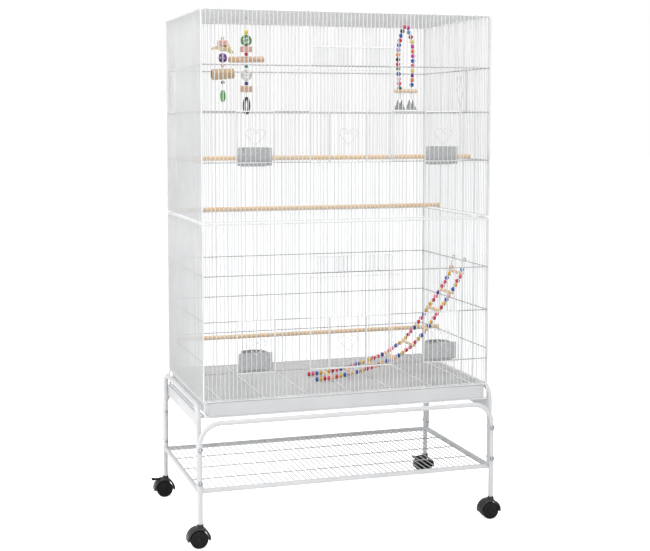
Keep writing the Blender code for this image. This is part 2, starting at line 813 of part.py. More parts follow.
TOY_A = (bead(0.055, 0.008, 0.006), block(0.067, 0.011, 0.009, 0.006), block(0.082, 0.028, 0.012, 0.008),
         ball(0.106, 0.012), bead(0.128, 0.008, 0.007), bundle(0.150, 0.029, 0.013),
         bead(0.171, 0.009, 0.005), bead(0.207, 0.0065, 0.018))
TOY_B = (bead(0.033, 0.008, 0.006), ball(0.059, 0.0150), block(0.083, 0.013, 0.011, 0.007),
         bead(0.099, 0.007, 0.005), block(0.112, 0.045, 0.008, 0.008), bead(0.130, 0.008, 0.006),
         ball(0.151, 0.0150), bead(0.174, 0.008, 0.006), block(0.190, 0.014, 0.012, 0.008),
         block(0.233, 0.0085, 0.0030, 0.022))

place("toy_rattan", hanging_toy(TOY_A_X, TOY_Y, TOY_A, TOY_A_LENGTH), TOY_COLOURS,
      origin=(TOY_A_X, TOY_Y, HOOK_Z), smooth=True)
place("toy_balls", hanging_toy(TOY_B_X, TOY_Y, TOY_B, TOY_B_LENGTH), TOY_COLOURS,
      origin=(TOY_B_X, TOY_Y, HOOK_Z), smooth=True)


# Beaded swing: an arch of beads, a wooden bar between its legs, and two bells under the bar.

SWING_HALF = 0.029
SWING_ROPE = 0.0030
SWING_BEAD = 0.0046
SWING_LEG_TOP = TOY_TOP - 0.040
SWING_BAR_Z = TOY_TOP - 0.190
SWING_BAR_RADIUS = 0.0060
SWING_BAR_HALF = 0.040
BELL_RADIUS = 0.0150
BELL_HEIGHT = 0.028
BELL_DROP = 0.018


def swing_arch():
    """The bead string, as a bent rod that swells at each bead."""
    beads = 6
    legs = []
    step = (SWING_LEG_TOP - SWING_BAR_Z) / (2 * beads)
    for k in range(2 * beads + 1):
        legs.append((k * step, SWING_BEAD if k % 2 else SWING_ROPE))
    points = [(SWING_X - SWING_HALF, TOY_Y, SWING_BAR_Z + rise) for rise, radius in legs]
    radii = [radius for rise, radius in legs]
    crown = arc((SWING_X, SWING_LEG_TOP), SWING_HALF, 180, 0, 6)[1:-1]
    rise = TOY_TOP - SWING_BEAD - SWING_LEG_TOP
    for across, up in crown:
        points.append((across, TOY_Y, SWING_LEG_TOP + (up - SWING_LEG_TOP) * rise / SWING_HALF))
        radii.append(SWING_ROPE)
    for climb, radius in reversed(legs):
        points.append((SWING_X + SWING_HALF, TOY_Y, SWING_BAR_Z + climb))
        radii.append(radius)
    lift = Vector((0, 0, SWING_BAR_RADIUS + CLEARANCE))
    lifted = [Vector(point) + lift * (1 if point[2] < SWING_BAR_Z + step / 2 else 0) for point in points]
    return rod(lifted, (0, 1, 0), radii, 6)


def swing_bar():
    ends = SWING_BAR_HALF
    return lathe([(-ends, SWING_BAR_RADIUS), (ends, SWING_BAR_RADIUS)],
                 (SWING_X, TOY_Y, SWING_BAR_Z), 0, 8, flats=True)


def bell(x):
    """A hollow cone with an open mouth and a stub loop at its top."""
    top = SWING_BAR_Z - SWING_BAR_RADIUS / math.cos(math.pi / 8) - CLEARANCE
    wall = 0.0012
    outer = [(0, 0.0015), (-BELL_DROP, 0.0015), (-BELL_DROP, 0.005),
             (-BELL_DROP - BELL_HEIGHT, BELL_RADIUS)]
    inner = [(-BELL_DROP - BELL_HEIGHT, BELL_RADIUS - wall), (-BELL_DROP - 2 * wall, 0.005 - wall)]
    return lathe(outer + inner, (x, TOY_Y, top), 2, 8)


swing = place("swing_beads", swing_arch(), TOY_COLOURS, origin=(SWING_X, TOY_Y, HOOK_Z), smooth=True)
place("swing_bar", swing_bar(), WOOD, origin=(SWING_X, TOY_Y, SWING_BAR_Z), parent=swing, smooth=True)
for side, sign in (("left", -1), ("right", 1)):
    at = SWING_X + sign * (BELL_RADIUS + 0.002)
    place(f"bell_{side}", bell(at), STEEL, origin=(at, TOY_Y, SWING_BAR_Z), parent=swing, smooth=True)


# Rope ladder: two cords that hang from the right wall and run down to the floor grille. Its route
# is given as the distance in from the right wall's wires and the height above the cage floor.

LADDER_ROUTE = ((0.0078, 0.324), (0.0135, 0.285), (0.044, 0.232), (0.081, 0.183), (0.117, 0.133),
                (0.158, 0.090), (0.210, 0.058), (0.270, 0.0375), (0.331, 0.022), (0.393, 0.0135),
                (0.446, 0.0103))


def ladder():
    """Two cords and the rungs through them."""
    route = [(CAGE_WIDTH / 2 - inward, CAGE_FLOOR_Z + height) for inward, height in LADDER_ROUTE]
    tools = []
    for side in (-1, 1):
        y = LADDER_Y + side * LADDER_HALF_WIDTH
        points = [(x, y, z) for x, z in route]
        tools.append(rod(points, (0, 1, 0), [LADDER_ROPE] * len(points), 6))
    reach = LADDER_HALF_WIDTH + LADDER_RUNG_OVERHANG
    for x, z in route[1:-1]:
        tools.append(lathe([(-reach, LADDER_RUNG), (reach, LADDER_RUNG)], (x, LADDER_Y, z), 1, 6))
    return worked(tools[0], *[("UNION", tool) for tool in tools[2:]], ("UNION", tools[1]))


place("rope_ladder", ladder(), TOY_ROPE, smooth=True)


# Stand. The end frames are inverted U tubes whose legs carry the casters. The side frames are
# shorter inverted U tubes, bolted behind those legs, with the angle rails that the cage sits on.

def inverted_u(half_span, foot_z, rail_z, bend, across_axis, fixed):
    """The path of an inverted U, in the plane across_axis and Z."""
    flat = [(-half_span, foot_z)]
    flat += arc((-half_span + bend, rail_z - bend), bend, 180, 90, 4)
    flat += arc((half_span - bend, rail_z - bend), bend, 90, 0, 4)
    flat.append((half_span, foot_z))
    points = []
    for across, up in flat:
        point = [fixed, fixed, up]
        point[across_axis] = across
        points.append(point)
    return points


def bolt_hole(x, y, z, reach):
    half = BOLT_RADIUS + CLEARANCE
    return lathe([(-reach, half), (reach, half)], (x, y, z), 1, 4, flats=True)


def end_frame(y):
    """Front or rear frame, with its bolt holes."""
    points = inverted_u(LEG_X, LEG_FOOT_Z, END_RAIL_Z, END_BEND, 0, y)
    tools = []
    for side, z in itertools.product((-1, 1), BOLT_Z):
        tools.append(("DIFFERENCE", bolt_hole(side * LEG_X, y, z, 2 * TUBE_RADIUS)))
    return worked(tube(points, (0, 1, 0), TUBE_RADIUS, TUBE_WALL, TUBE_SIDES), *tools)


def side_frame(side):
    """Side frame with its angle rail welded between the legs."""
    x = side * LEG_X
    points = inverted_u(SIDE_LEG_Y, SIDE_LEG_FOOT_Z, SIDE_RAIL_Z, SIDE_BEND, 1, x)
    face = side * (LEG_X - TUBE_RADIUS + ANGLE_INSET)
    inner = face - side * ANGLE_THICKNESS
    toe = face - side * ANGLE_LEDGE
    top = BASE_Z - BASE_WIRE / 2 - CLEARANCE
    rail = fused_boxes([
        box(min(face, inner), max(face, inner), -SIDE_LEG_Y, SIDE_LEG_Y, top - ANGLE_DROP, top),
        box(min(face, toe), max(face, toe), -SIDE_LEG_Y, SIDE_LEG_Y, top - ANGLE_THICKNESS, top),
    ])
    tools = [("UNION", rail)]
    for end, z in itertools.product((-1, 1), BOLT_Z):
        tools.append(("DIFFERENCE", bolt_hole(x, end * SIDE_LEG_Y, z, 2 * TUBE_RADIUS)))
    return worked(tube(points, (1, 0, 0), TUBE_RADIUS, TUBE_WALL, TUBE_SIDES), *tools)


place("front_frame", end_frame(-LEG_Y), WHITE, smooth=True)
place("rear_frame", end_frame(LEG_Y), WHITE, smooth=True)
place("left_side_frame", side_frame(-1), WHITE, smooth=True)
place("right_side_frame", side_frame(1), WHITE, smooth=True)


def bolt(x, end, z):
    """A bolt through an end leg and the side leg behind it, with its nut run home."""
    head_face = LEG_Y + TUBE_RADIUS + CLEARANCE
    nut_face = SIDE_LEG_Y - TUBE_RADIUS - CLEARANCE
    profile = [(head_face + BOLT_HEAD, BOLT_HEAD_RADIUS), (head_face, BOLT_HEAD_RADIUS),
               (head_face, BOLT_RADIUS), (nut_face, BOLT_RADIUS), (nut_face, NUT_RADIUS),
               (nut_face - NUT, NUT_RADIUS)]
    return lathe([(end * along, radius) for along, radius in profile], (x, 0, z), 1, 6)


for side_name, side in (("left", -1), ("right", 1)):
    for end_name, end in (("front", -1), ("rear", 1)):
        for level, z in zip(("low", "high"), BOLT_Z):
            place(f"bolt_{end_name}_{side_name}_{level}", bolt(side * LEG_X, end, z), STEEL)


# Shelf: a tube rim with cross wires, long wires under them, and a stud in each side leg for the
# low bolt.

def shelf():
    half_x = LEG_X
    half_y = SIDE_LEG_Y
    corner = SHELF_CORNER
    flat = []
    for sx, sy, start in ((1, 1, 0), (-1, 1, 90), (-1, -1, 180), (1, -1, 270)):
        flat += arc((sx * (half_x - corner), sy * (half_y - corner)), corner, start, start + 90, 2)
    rim = rod([(x, y, SHELF_Z) for x, y in flat], (0, 0, 1), [SHELF_TUBE] * len(flat), TUBE_SIDES, True)
    pitch = 2 * half_x / SHELF_GAPS
    spans = [(-half_x + index * pitch, -half_y, half_y) for index in range(1, SHELF_GAPS)]
    top = SHELF_Z + SHELF_TUBE / 2
    cross = wires(spans, SHELF_WIRE / 2, top, top - SHELF_WIRE, 1, 0, 2)
    gap = 2 * half_y / (SHELF_LONG_WIRES + 1)
    spans = [(-half_y + index * gap, -half_x, half_x) for index in range(1, SHELF_LONG_WIRES + 1)]
    under = top - SHELF_WIRE - CLEARANCE
    long_wires = wires(spans, SHELF_WIRE / 2, under, under - SHELF_WIRE, 0, 1, 2)
    studs = []
    for side, end in itertools.product((-1, 1), (-1, 1)):
        x = side * LEG_X
        y = end * SIDE_LEG_Y
        studs.append(("UNION", lathe([(SHELF_Z, STUD_RADIUS), (BOLT_Z[0] + STUD_TOP_MARGIN, STUD_RADIUS)],
                                     (x, y, 0), 2, TUBE_SIDES, flats=True)))
        studs.append(("DIFFERENCE", bolt_hole(x, y, BOLT_Z[0], 2 * STUD_RADIUS)))
    return worked(rim, ("UNION", cross), ("UNION", long_wires), *studs)


place("shelf", shelf(), WHITE)


# Casters: a hood with its stem in the leg, a pair of wheels on one axle, and a brake lever.

def caster_hood(x, y):
    wheel_x = x - TRAIL
    centre = (wheel_x, WHEEL_RADIUS)
    canopy = arc(centre, HOOD_INNER, 180, 0, 6)
    canopy.append((wheel_x + HOOD_TIP, WHEEL_RADIUS - HOOD_TIP_DROP))
    canopy += arc(centre, HOOD_OUTER, 10, 170, 6)
    canopy.append((wheel_x - HOOD_TIP, WHEEL_RADIUS - HOOD_TIP_DROP))
    roof = outline_prism(canopy, 1, y - HOOD_WIDTH / 2, y + HOOD_WIDTH / 2)
    inside_roof = WHEEL_RADIUS + (HOOD_INNER + HOOD_OUTER) / 2
    web = fused_boxes([box(wheel_x - WEB_HALF_WIDTH, wheel_x + WEB_HALF_WIDTH, y - WEB_THICKNESS / 2,
                           y + WEB_THICKNESS / 2, WHEEL_RADIUS - WEB_HALF_WIDTH, inside_roof)])
    collar_top = LEG_FOOT_Z - CLEARANCE
    stem = lathe([(inside_roof, BOSS_RADIUS), (collar_top, BOSS_RADIUS), (collar_top, STEM_RADIUS),
                  (collar_top + STEM_RISE, STEM_RADIUS)], (x, y, 0), 2, 8)
    bore = lathe([(-WEB_THICKNESS, AXLE_RADIUS + CLEARANCE), (WEB_THICKNESS, AXLE_RADIUS + CLEARANCE)],
                 (wheel_x, y, WHEEL_RADIUS), 1, 8, flats=True)
    return worked(roof, ("UNION", web), ("UNION", stem), ("DIFFERENCE", bore))


def wheel_pair(x, y):
    half = WHEEL_SPAN / 2
    inner = half - WHEEL_WIDTH
    axle = AXLE_RADIUS * math.cos(math.pi / WHEEL_SIDES)
    profile = [(-half, WHEEL_RADIUS), (-inner, WHEEL_RADIUS), (-inner, axle), (inner, axle),
               (inner, WHEEL_RADIUS), (half, WHEEL_RADIUS)]
    return lathe(profile, (x - TRAIL, y, WHEEL_RADIUS), 1, WHEEL_SIDES, flats=True)


def brake_lever(x, y):
    wheel_x = x - TRAIL
    return fused_boxes([box(wheel_x - LEVER_REACH, wheel_x - LEVER_ROOT, y - LEVER_WIDTH / 2,
                            y + LEVER_WIDTH / 2, LEVER_Z, LEVER_Z + LEVER_THICKNESS)])


for side_name, side in (("left", -1), ("right", 1)):
    for end_name, end in (("front", -1), ("rear", 1)):
        x = side * LEG_X
        y = end * LEG_Y
        where = f"{end_name}_{side_name}"
        hood = place(f"caster_hood_{where}", caster_hood(x, y), BLACK_PLASTIC, origin=(x, y, LEG_FOOT_Z),
                     smooth=True)
        place(f"caster_wheels_{where}", wheel_pair(x, y), BLACK_PLASTIC,
              origin=(x - TRAIL, y, WHEEL_RADIUS), parent=hood, smooth=True)
        if end > 0:
            place(f"brake_lever_{side_name}", brake_lever(x, y), BLACK_PLASTIC,
                  origin=(x - TRAIL - LEVER_ROOT, y, LEVER_Z), parent=hood)
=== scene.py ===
"""The finish of a two-tier wire bird cage on its rolling stand.

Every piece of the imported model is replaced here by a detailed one: round wires with their bent
ends, moulded plastic, turned wood, threaded beads and twin-wheel casters. Metres, +Z up, and the
front of the cage faces -Y.
"""

import math
import random

import bpy
from mathutils import Matrix, Vector


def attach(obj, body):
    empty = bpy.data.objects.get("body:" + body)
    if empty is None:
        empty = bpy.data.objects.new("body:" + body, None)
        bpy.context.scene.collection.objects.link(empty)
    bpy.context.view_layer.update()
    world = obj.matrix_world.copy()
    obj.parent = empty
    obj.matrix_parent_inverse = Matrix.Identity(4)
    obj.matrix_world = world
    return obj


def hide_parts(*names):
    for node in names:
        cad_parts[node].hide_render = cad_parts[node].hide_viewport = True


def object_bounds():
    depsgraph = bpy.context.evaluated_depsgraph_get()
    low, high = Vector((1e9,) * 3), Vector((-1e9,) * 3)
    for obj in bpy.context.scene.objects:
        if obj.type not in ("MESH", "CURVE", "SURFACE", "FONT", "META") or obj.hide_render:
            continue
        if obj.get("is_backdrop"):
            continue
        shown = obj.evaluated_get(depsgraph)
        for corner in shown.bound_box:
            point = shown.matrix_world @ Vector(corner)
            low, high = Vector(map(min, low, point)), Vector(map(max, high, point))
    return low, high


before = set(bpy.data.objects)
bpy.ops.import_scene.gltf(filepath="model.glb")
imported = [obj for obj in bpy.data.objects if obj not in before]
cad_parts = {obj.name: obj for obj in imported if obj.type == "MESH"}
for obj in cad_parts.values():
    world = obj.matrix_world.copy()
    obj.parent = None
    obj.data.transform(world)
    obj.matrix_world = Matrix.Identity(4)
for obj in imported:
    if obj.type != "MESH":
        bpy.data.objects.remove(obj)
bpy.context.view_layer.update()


# Camera and studio. The lens, the place and the tilt come from a fit to the cage's corners, and the
# small shift keeps the uprights upright. A pale floor runs out under a white surround, with large
# soft boxes in front, overhead and at the left.
PHOTO_WIDTH = 650
FOCAL_PIXELS = 1278.8
SENSOR = 36.0
TILT = math.radians(90 - 4.79)
HEADING = math.radians(-17.71)
SKY = (0.90, 0.93, 0.97, 1)
SKY_STRENGTH = 0.46
PAPER = (0.92, 0.92, 0.92, 1)
PAPER_GLOW = 0.72
PURE_WHITE = (1, 1, 1, 1)
CAMERA_PLACE = (-1.0661, -3.3522, 1.0785)
CAMERA_SHIFT = -0.0726
CAGE_MIDDLE = (0, 0, 0.7)

# The soft boxes: name, place, what each is aimed at, size and power
SOFT_BOXES = (("box_camera", (-0.6, -4.0, 2.3), CAGE_MIDDLE, 2.2, 62),
              ("box_top", (0.3, -0.4, 3.3), CAGE_MIDDLE, 2.0, 60),
              ("box_left", (-3.2, 0.4, 1.7), (0, 0, 0.8), 2.0, 64))


def added(make, **settings):
    """What an add operator makes, selected alone."""
    bpy.ops.object.select_all(action="DESELECT")
    make(**settings)
    return bpy.context.active_object


def fed(tree, node, inputs):
    """A node with each input set to a value, or fed by a socket."""
    for name, source in inputs.items():
        if isinstance(source, bpy.types.NodeSocket):
            tree.links.new(source, node.inputs[name])
        else:
            node.inputs[name].default_value = source
    return node


def reckoned(tree, operation, *values):
    """The outcome of a sum on values or sockets."""
    total = tree.nodes.new("ShaderNodeMath")
    total.operation = operation
    return fed(tree, total, dict(enumerate(values))).outputs[0]


def new_finish(name):
    """A new material with its nodes and its shader."""
    made = bpy.data.materials.new(name)
    made.use_nodes = True
    return made, made.node_tree, made.node_tree.nodes["Principled BSDF"]


camera = added(bpy.ops.object.camera_add, location=CAMERA_PLACE, rotation=(TILT, 0, HEADING))
camera.name = "camera"
camera.data.sensor_width = SENSOR
camera.data.lens = FOCAL_PIXELS * SENSOR / PHOTO_WIDTH
camera.data.shift_y = CAMERA_SHIFT
bpy.context.scene.camera = camera

surround = bpy.data.worlds.new("surround")
bpy.context.scene.world = surround
surround.use_nodes = True
tree = surround.node_tree
seen = tree.nodes.new("ShaderNodeLightPath")
sky = fed(tree, tree.nodes["Background"], {"Color": SKY, "Strength": SKY_STRENGTH})
backdrop = fed(tree, tree.nodes.new("ShaderNodeBackground"), {"Color": PURE_WHITE, "Strength": 1.0})
chosen = fed(tree, tree.nodes.new("ShaderNodeMixShader"),
             {0: seen.outputs["Is Camera Ray"], 1: sky.outputs[0], 2: backdrop.outputs[0]})
fed(tree, tree.nodes["World Output"], {"Surface": chosen.outputs[0]})

for name, place, aim, size, power in SOFT_BOXES:
    turn = (Vector(aim) - Vector(place)).to_track_quat("-Z", "Y").to_euler()
    light = added(bpy.ops.object.light_add, type="AREA", location=place, rotation=turn)
    light.name = name
    light.data.size = size
    light.data.energy = power

floor = added(bpy.ops.mesh.primitive_plane_add, size=60, location=(0, 0, 0))
floor.name = "floor"
paper, tree, shader = new_finish("white_paper")
seen = tree.nodes.new("ShaderNodeLightPath")
glow = reckoned(tree, "MULTIPLY", seen.outputs["Is Camera Ray"], PAPER_GLOW)
fed(tree, shader, {"Base Color": PAPER, "Roughness": 0.9, "Emission Color": PURE_WHITE,
                   "Emission Strength": glow})
floor.data.materials.append(paper)
floor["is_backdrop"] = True
bpy.context.scene.view_settings.view_transform = "Standard"
bpy.context.scene.view_settings.look = "None"


# Front and rear frames. Each is one length of 13 mm steel tube bent into an upside-down U, powder
# coated white, with a caster in the open foot of each leg.
TUBE_RADIUS = 0.0065
TUBE_WALL = 0.0010
TUBE_SIDES = 32
LEG_X = 0.403
LEG_Y = 0.236
LEG_FOOT_Z = 0.060
END_RAIL_Z = 0.316
END_BEND = 0.055
ENDS = (("front", -1), ("rear", 1))


def grain_group():
    """Fine unevenness of a surface: a bump height and a slow drift in tone."""
    group = bpy.data.node_groups.new("surface_grain", "ShaderNodeTree")
    for name, way in (("Grain Scale", "INPUT"), ("Drift Scale", "INPUT"), ("Height", "OUTPUT"),
                      ("Drift", "OUTPUT")):
        group.interface.new_socket(name=name, in_out=way, socket_type="NodeSocketFloat")
    entry = group.nodes.new("NodeGroupInput")
    leave = group.nodes.new("NodeGroupOutput")
    place = group.nodes.new("ShaderNodeTexCoord")
    for scale, detail, result in (("Grain Scale", 2, "Height"), ("Drift Scale", 3, "Drift")):
        noise = fed(group, group.nodes.new("ShaderNodeTexNoise"),
                    {"Vector": place.outputs["Object"], "Scale": entry.outputs[scale], "Detail": detail})
        fed(group, leave, {result: noise.outputs["Fac"]})
    return group


SURFACE_GRAIN = grain_group()


def coloured(tree, low, high, mask):
    """A colour between two, by a mask from 0 to 1."""
    mix = tree.nodes.new("ShaderNodeMix")
    mix.data_type = "RGBA"
    return fed(tree, mix, {0: mask, 6: (*low, 1), 7: (*high, 1)}).outputs[2]


def spread(tree, mask, low, high):
    """A mask stretched between two values."""
    reach = fed(tree, tree.nodes.new("ShaderNodeMapRange"),
                {"Value": mask, "From Min": 0.3, "From Max": 0.7, "To Min": low, "To Max": high})
    return reach.outputs["Result"]


def bumped(tree, height, distance):
    """A height as a bumped normal."""
    bump = fed(tree, tree.nodes.new("ShaderNodeBump"),
               {"Strength": 0.5, "Distance": distance, "Height": height})
    return bump.outputs["Normal"]


def grained(name, colour, shade, roughness, grain, drift, depth, metallic=0.0):
    """A plain finish with a fine grain: coat, plastic or metal. Scales are waves in a metre."""
    made, tree, shader = new_finish(name)
    surface = tree.nodes.new("ShaderNodeGroup")
    surface.node_tree = SURFACE_GRAIN
    fed(tree, surface, {"Grain Scale": grain, "Drift Scale": drift})
    height = surface.outputs["Height"]
    tone = coloured(tree, shade, colour, spread(tree, surface.outputs["Drift"], 0, 1))
    fed(tree, shader, {"Metallic": metallic, "Base Color": tone, "Normal": bumped(tree, height, depth),
                       "Roughness": spread(tree, height, roughness - 0.05, roughness + 0.05)})
    return made


TUBE_COAT = grained("tube_powder_coat", (0.71, 0.71, 0.71), (0.66, 0.66, 0.66), 0.34, 700, 9, 0.00008)


def only(*pieces):
    """Select these pieces alone, the first one active."""
    bpy.ops.object.select_all(action="DESELECT")
    for piece in pieces:
        piece.select_set(True)
    bpy.context.view_layer.objects.active = pieces[0]


def modified(piece, kind, **settings):
    """A piece with one modifier applied."""
    only(piece)
    bpy.ops.object.modifier_add(type=kind)
    change = piece.modifiers[-1]
    for setting, value in settings.items():
        setattr(change, setting, value)
    bpy.ops.object.modifier_apply(modifier=change.name)
    return piece


def formed(make, **settings):
    """A primitive, with its size and place in its mesh."""
    piece = added(make, **settings)
    bpy.ops.object.transform_apply()
    return piece


def edited(selected=True):
    """Open the active mesh in edit mode, with all of it selected or none."""
    bpy.ops.object.mode_set(mode="EDIT")
    bpy.ops.mesh.select_all(action="SELECT" if selected else "DESELECT")


def faced_out():
    """Turn all faces outwards and leave edit mode."""
    bpy.ops.mesh.select_all(action="SELECT")
    bpy.ops.mesh.normals_make_consistent(inside=False)
    bpy.ops.object.mode_set(mode="OBJECT")


def bent_bar(points, radius, bend=0.0, sides=12, closed=False, capped=True):
    """A round bar through corner points, extruded along each run and spun round each bend."""
    points = [Vector(point) for point in points]
    if closed:
        middle = (points[0] + points[-1]) / 2
        points = [middle, *points, middle]
    heading = (points[1] - points[0]).normalized()
    bar = formed(bpy.ops.mesh.primitive_circle_add, vertices=sides, radius=radius, location=points[0],
                 rotation=heading.to_track_quat("Z", "Y").to_euler())
    edited()
    at = points[0]
    for corner, following in zip(points[1:], points[2:]):
        turn = (following - corner).normalized()
        angle = heading.angle(turn)
        reach = bend * math.tan(angle / 2)
        stop = corner - heading * reach
        axis = heading.cross(turn).normalized()
        bpy.ops.mesh.extrude_region_move(TRANSFORM_OT_translate={"value": stop - at})
        bpy.ops.mesh.spin(steps=max(2, round(math.degrees(angle) / 11)), angle=angle,
                          center=stop + axis.cross(heading) * bend, axis=-axis)
        at = corner + turn * reach
        heading = turn
    bpy.ops.mesh.extrude_region_move(TRANSFORM_OT_translate={"value": points[-1] - at})
    bpy.ops.mesh.select_all(action="SELECT")
    if closed:
        bpy.ops.mesh.remove_doubles(threshold=0.00001)
    elif capped:
        bpy.ops.mesh.fill_holes(sides=0)
        bpy.ops.mesh.select_all(action="DESELECT")
        bpy.ops.mesh.select_face_by_sides(number=sides)
        bpy.ops.mesh.bevel(offset=radius * 0.4, segments=2)
    faced_out()
    return bar


def dressed(piece, finish):
    """Give a piece one finish all over, before it is joined with pieces of other finishes."""
    piece.data.materials.clear()
    piece.data.materials.append(finish)
    return piece


def finished(piece, name, finish, nodes=(), body="cage_and_stand", angle=35):
    """Name a piece, give it its finish unless it has its own, and put it on its body for its nodes."""
    only(piece)
    bpy.ops.object.shade_smooth_by_angle(angle=math.radians(angle))
    piece.name = name
    if finish:
        dressed(piece, finish)
    if nodes:
        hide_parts(*nodes)
    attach(piece, body)
    return piece


def tube_hoop(feet, rail_z, foot_z, bend):
    """An upside-down U of open tube, whose feet stand at two places."""
    (x0, y0), (x1, y1) = feet
    pipe = bent_bar([(x0, y0, foot_z), (x0, y0, rail_z), (x1, y1, rail_z), (x1, y1, foot_z)], TUBE_RADIUS,
                    bend, TUBE_SIDES, capped=False)
    return modified(pipe, "SOLIDIFY", thickness=TUBE_WALL, offset=-1)


for end_name, end in ENDS:
    hoop = tube_hoop(((-LEG_X, end * LEG_Y), (LEG_X, end * LEG_Y)), END_RAIL_Z, LEG_FOOT_Z, END_BEND)
    finished(hoop, f"{end_name}_hoop", TUBE_COAT, [f"{end_name}_frame"])


# Side frames. Shorter hoops of the same tube stand behind the end legs. A rolled angle is welded
# between the legs of each, and the cage's wire base lies on its ledge.
CLEARANCE = 0.0003
SIDES = (("left", -1), ("right", 1))
SIDE_LEG_Y = LEG_Y - 2 * TUBE_RADIUS - CLEARANCE
SIDE_RAIL_Z = 0.360
SIDE_BEND = 0.036
SHELF_Z = 0.1409
SHELF_TUBE = 0.00625
BASE_Z = 0.331
BASE_WIRE = 0.0040
ANGLE_DROP = 0.031
ANGLE_LEDGE = 0.016
ANGLE_THICKNESS = 0.0013
ANGLE_WELD = 0.0007


def joined(pieces):
    """Several meshes as one object."""
    only(*pieces)
    if len(pieces) > 1:
        bpy.ops.object.join()
    return bpy.context.active_object


def rolled_angle(side):
    """An L section: a flat strip whose inner edge is extruded down into the upright flange."""
    outer = LEG_X - TUBE_RADIUS + ANGLE_WELD
    middle = outer - ANGLE_LEDGE / 2
    strip = added(bpy.ops.mesh.primitive_plane_add, size=1,
                  location=(side * middle, 0, BASE_Z - BASE_WIRE / 2 - CLEARANCE))
    strip.scale = (ANGLE_LEDGE, 2 * SIDE_LEG_Y - TUBE_RADIUS, 1)
    bpy.ops.object.transform_apply()
    for edge in strip.data.edges:
        edge.select = min(strip.data.vertices[index].co.x * side for index in edge.vertices) > middle
    for vertex in strip.data.vertices:
        vertex.select = vertex.co.x * side > middle
    for face in strip.data.polygons:
        face.select = False
    bpy.ops.object.mode_set(mode="EDIT")
    bpy.ops.mesh.select_mode(type="EDGE")
    bpy.ops.mesh.extrude_region_move(TRANSFORM_OT_translate={"value": (0, 0, -ANGLE_DROP)})
    bpy.ops.mesh.select_mode(type="VERT")
    faced_out()
    inwards = -1 if strip.data.polygons[0].normal.z > 0 else 1
    modified(strip, "SOLIDIFY", thickness=ANGLE_THICKNESS, offset=inwards)
    return modified(strip, "BEVEL", width=ANGLE_THICKNESS * 0.4, segments=2)


for side_name, side in SIDES:
    x = side * LEG_X
    foot_z = SHELF_Z + SHELF_TUBE + CLEARANCE
    hoop = tube_hoop(((x, -SIDE_LEG_Y), (x, SIDE_LEG_Y)), SIDE_RAIL_Z, foot_z, SIDE_BEND)
    finished(joined([hoop, rolled_angle(side)]), f"{side_name}_side_hoop", TUBE_COAT,
             [f"{side_name}_side_frame"])


# Shelf. A rim of 12.5 mm tube closed round the legs, fine wires across it with three long wires
# under them, and a stud at each corner that stands up inside the side leg. All are one white coat,
# but the fine wires and the long wires are drawn in darker greys as painted shade.
SHELF_CORNER = 0.008
SHELF_GAPS = 50
SHELF_WIRE = 0.0026
SHELF_FINE_WIRE = 0.0025
SHELF_LONG_WIRES = 3
STUD_RADIUS = 0.0049
STUD_TOP = 0.178
WIRE_SIDES = 10
WELD_SHARE = 0.62

SHELF_COAT = grained("shelf_powder_coat", (0.72, 0.72, 0.72), (0.66, 0.66, 0.66), 0.32, 900, 14, 0.00006)
# A darker copy of the shelf's white coat for its fine wires, as painted shade.
FINE_WIRE_PAINTED_SHADE = grained("fine_wire_painted_shade", (0.62, 0.62, 0.62), (0.56, 0.56, 0.56), 0.32, 900, 14, 0.00006)
# A much darker copy of the white wire coat, as painted shade on wires that lie behind or under others.
PAINTED_SHADE_WIRE_COAT = grained("painted_shade_wire_coat", (0.46, 0.46, 0.46), (0.40, 0.40, 0.40), 0.34, 900, 14, 0.00006)


def repeated(piece, count, step):
    """The piece repeated in a straight row."""
    if count > 1:
        modified(piece, "ARRAY", use_relative_offset=False, use_constant_offset=True,
                 constant_offset_displace=step, count=count)
    return piece


def straight_wire(start, end, radius, sides=WIRE_SIDES):
    """A straight wire from point to point with rounded ends."""
    start = Vector(start)
    end = Vector(end)
    run = end - start
    wire = formed(bpy.ops.mesh.primitive_cylinder_add, vertices=sides, radius=radius, depth=run.length,
                  location=(start + end) / 2, rotation=run.to_track_quat("Z", "Y").to_euler())
    edited(False)
    bpy.ops.mesh.select_face_by_sides(number=sides)
    bpy.ops.mesh.bevel(offset=radius * 0.45, segments=2)
    bpy.ops.object.mode_set(mode="OBJECT")
    return wire


def weld_grid(first, counts, steps, radius):
    """Small weld nuggets in rows and columns."""
    nugget = formed(bpy.ops.mesh.primitive_ico_sphere_add, subdivisions=1, radius=radius, location=first)
    for count, step in zip(counts, steps):
        repeated(nugget, count, step)
    return nugget


def level_frame(half_x, half_y, z, radius, bend, sides=12):
    """A closed rectangle of bar that lies level round the middle."""
    return bent_bar([(-half_x, -half_y, z), (half_x, -half_y, z), (half_x, half_y, z), (-half_x, half_y, z)],
                    radius, bend, sides, closed=True)


shelf_rim = level_frame(LEG_X, SIDE_LEG_Y, SHELF_Z, SHELF_TUBE, SHELF_CORNER, TUBE_SIDES)
shelf_parts = [dressed(shelf_rim, SHELF_COAT)]
shelf_pitch = 2 * LEG_X / SHELF_GAPS
long_gap = 2 * SIDE_LEG_Y / (SHELF_LONG_WIRES + 1)
cross_z = SHELF_Z + SHELF_TUBE / 2 - SHELF_WIRE / 2
long_z = cross_z - SHELF_WIRE * 0.94
cross_end = SIDE_LEG_Y + SHELF_TUBE * 0.2
first_x = -LEG_X + shelf_pitch
first_y = -SIDE_LEG_Y + long_gap
shelf_cross = straight_wire((first_x, -cross_end, cross_z), (first_x, cross_end, cross_z),
                            SHELF_FINE_WIRE / 2)
# The fine wires take the darker copy of the coat, as painted shade.
shelf_parts.append(dressed(repeated(shelf_cross, SHELF_GAPS - 1, (shelf_pitch, 0, 0)), FINE_WIRE_PAINTED_SHADE))
shelf_long = repeated(straight_wire((-LEG_X, first_y, long_z), (LEG_X, first_y, long_z), SHELF_WIRE / 2),
                      SHELF_LONG_WIRES, (0, long_gap, 0))
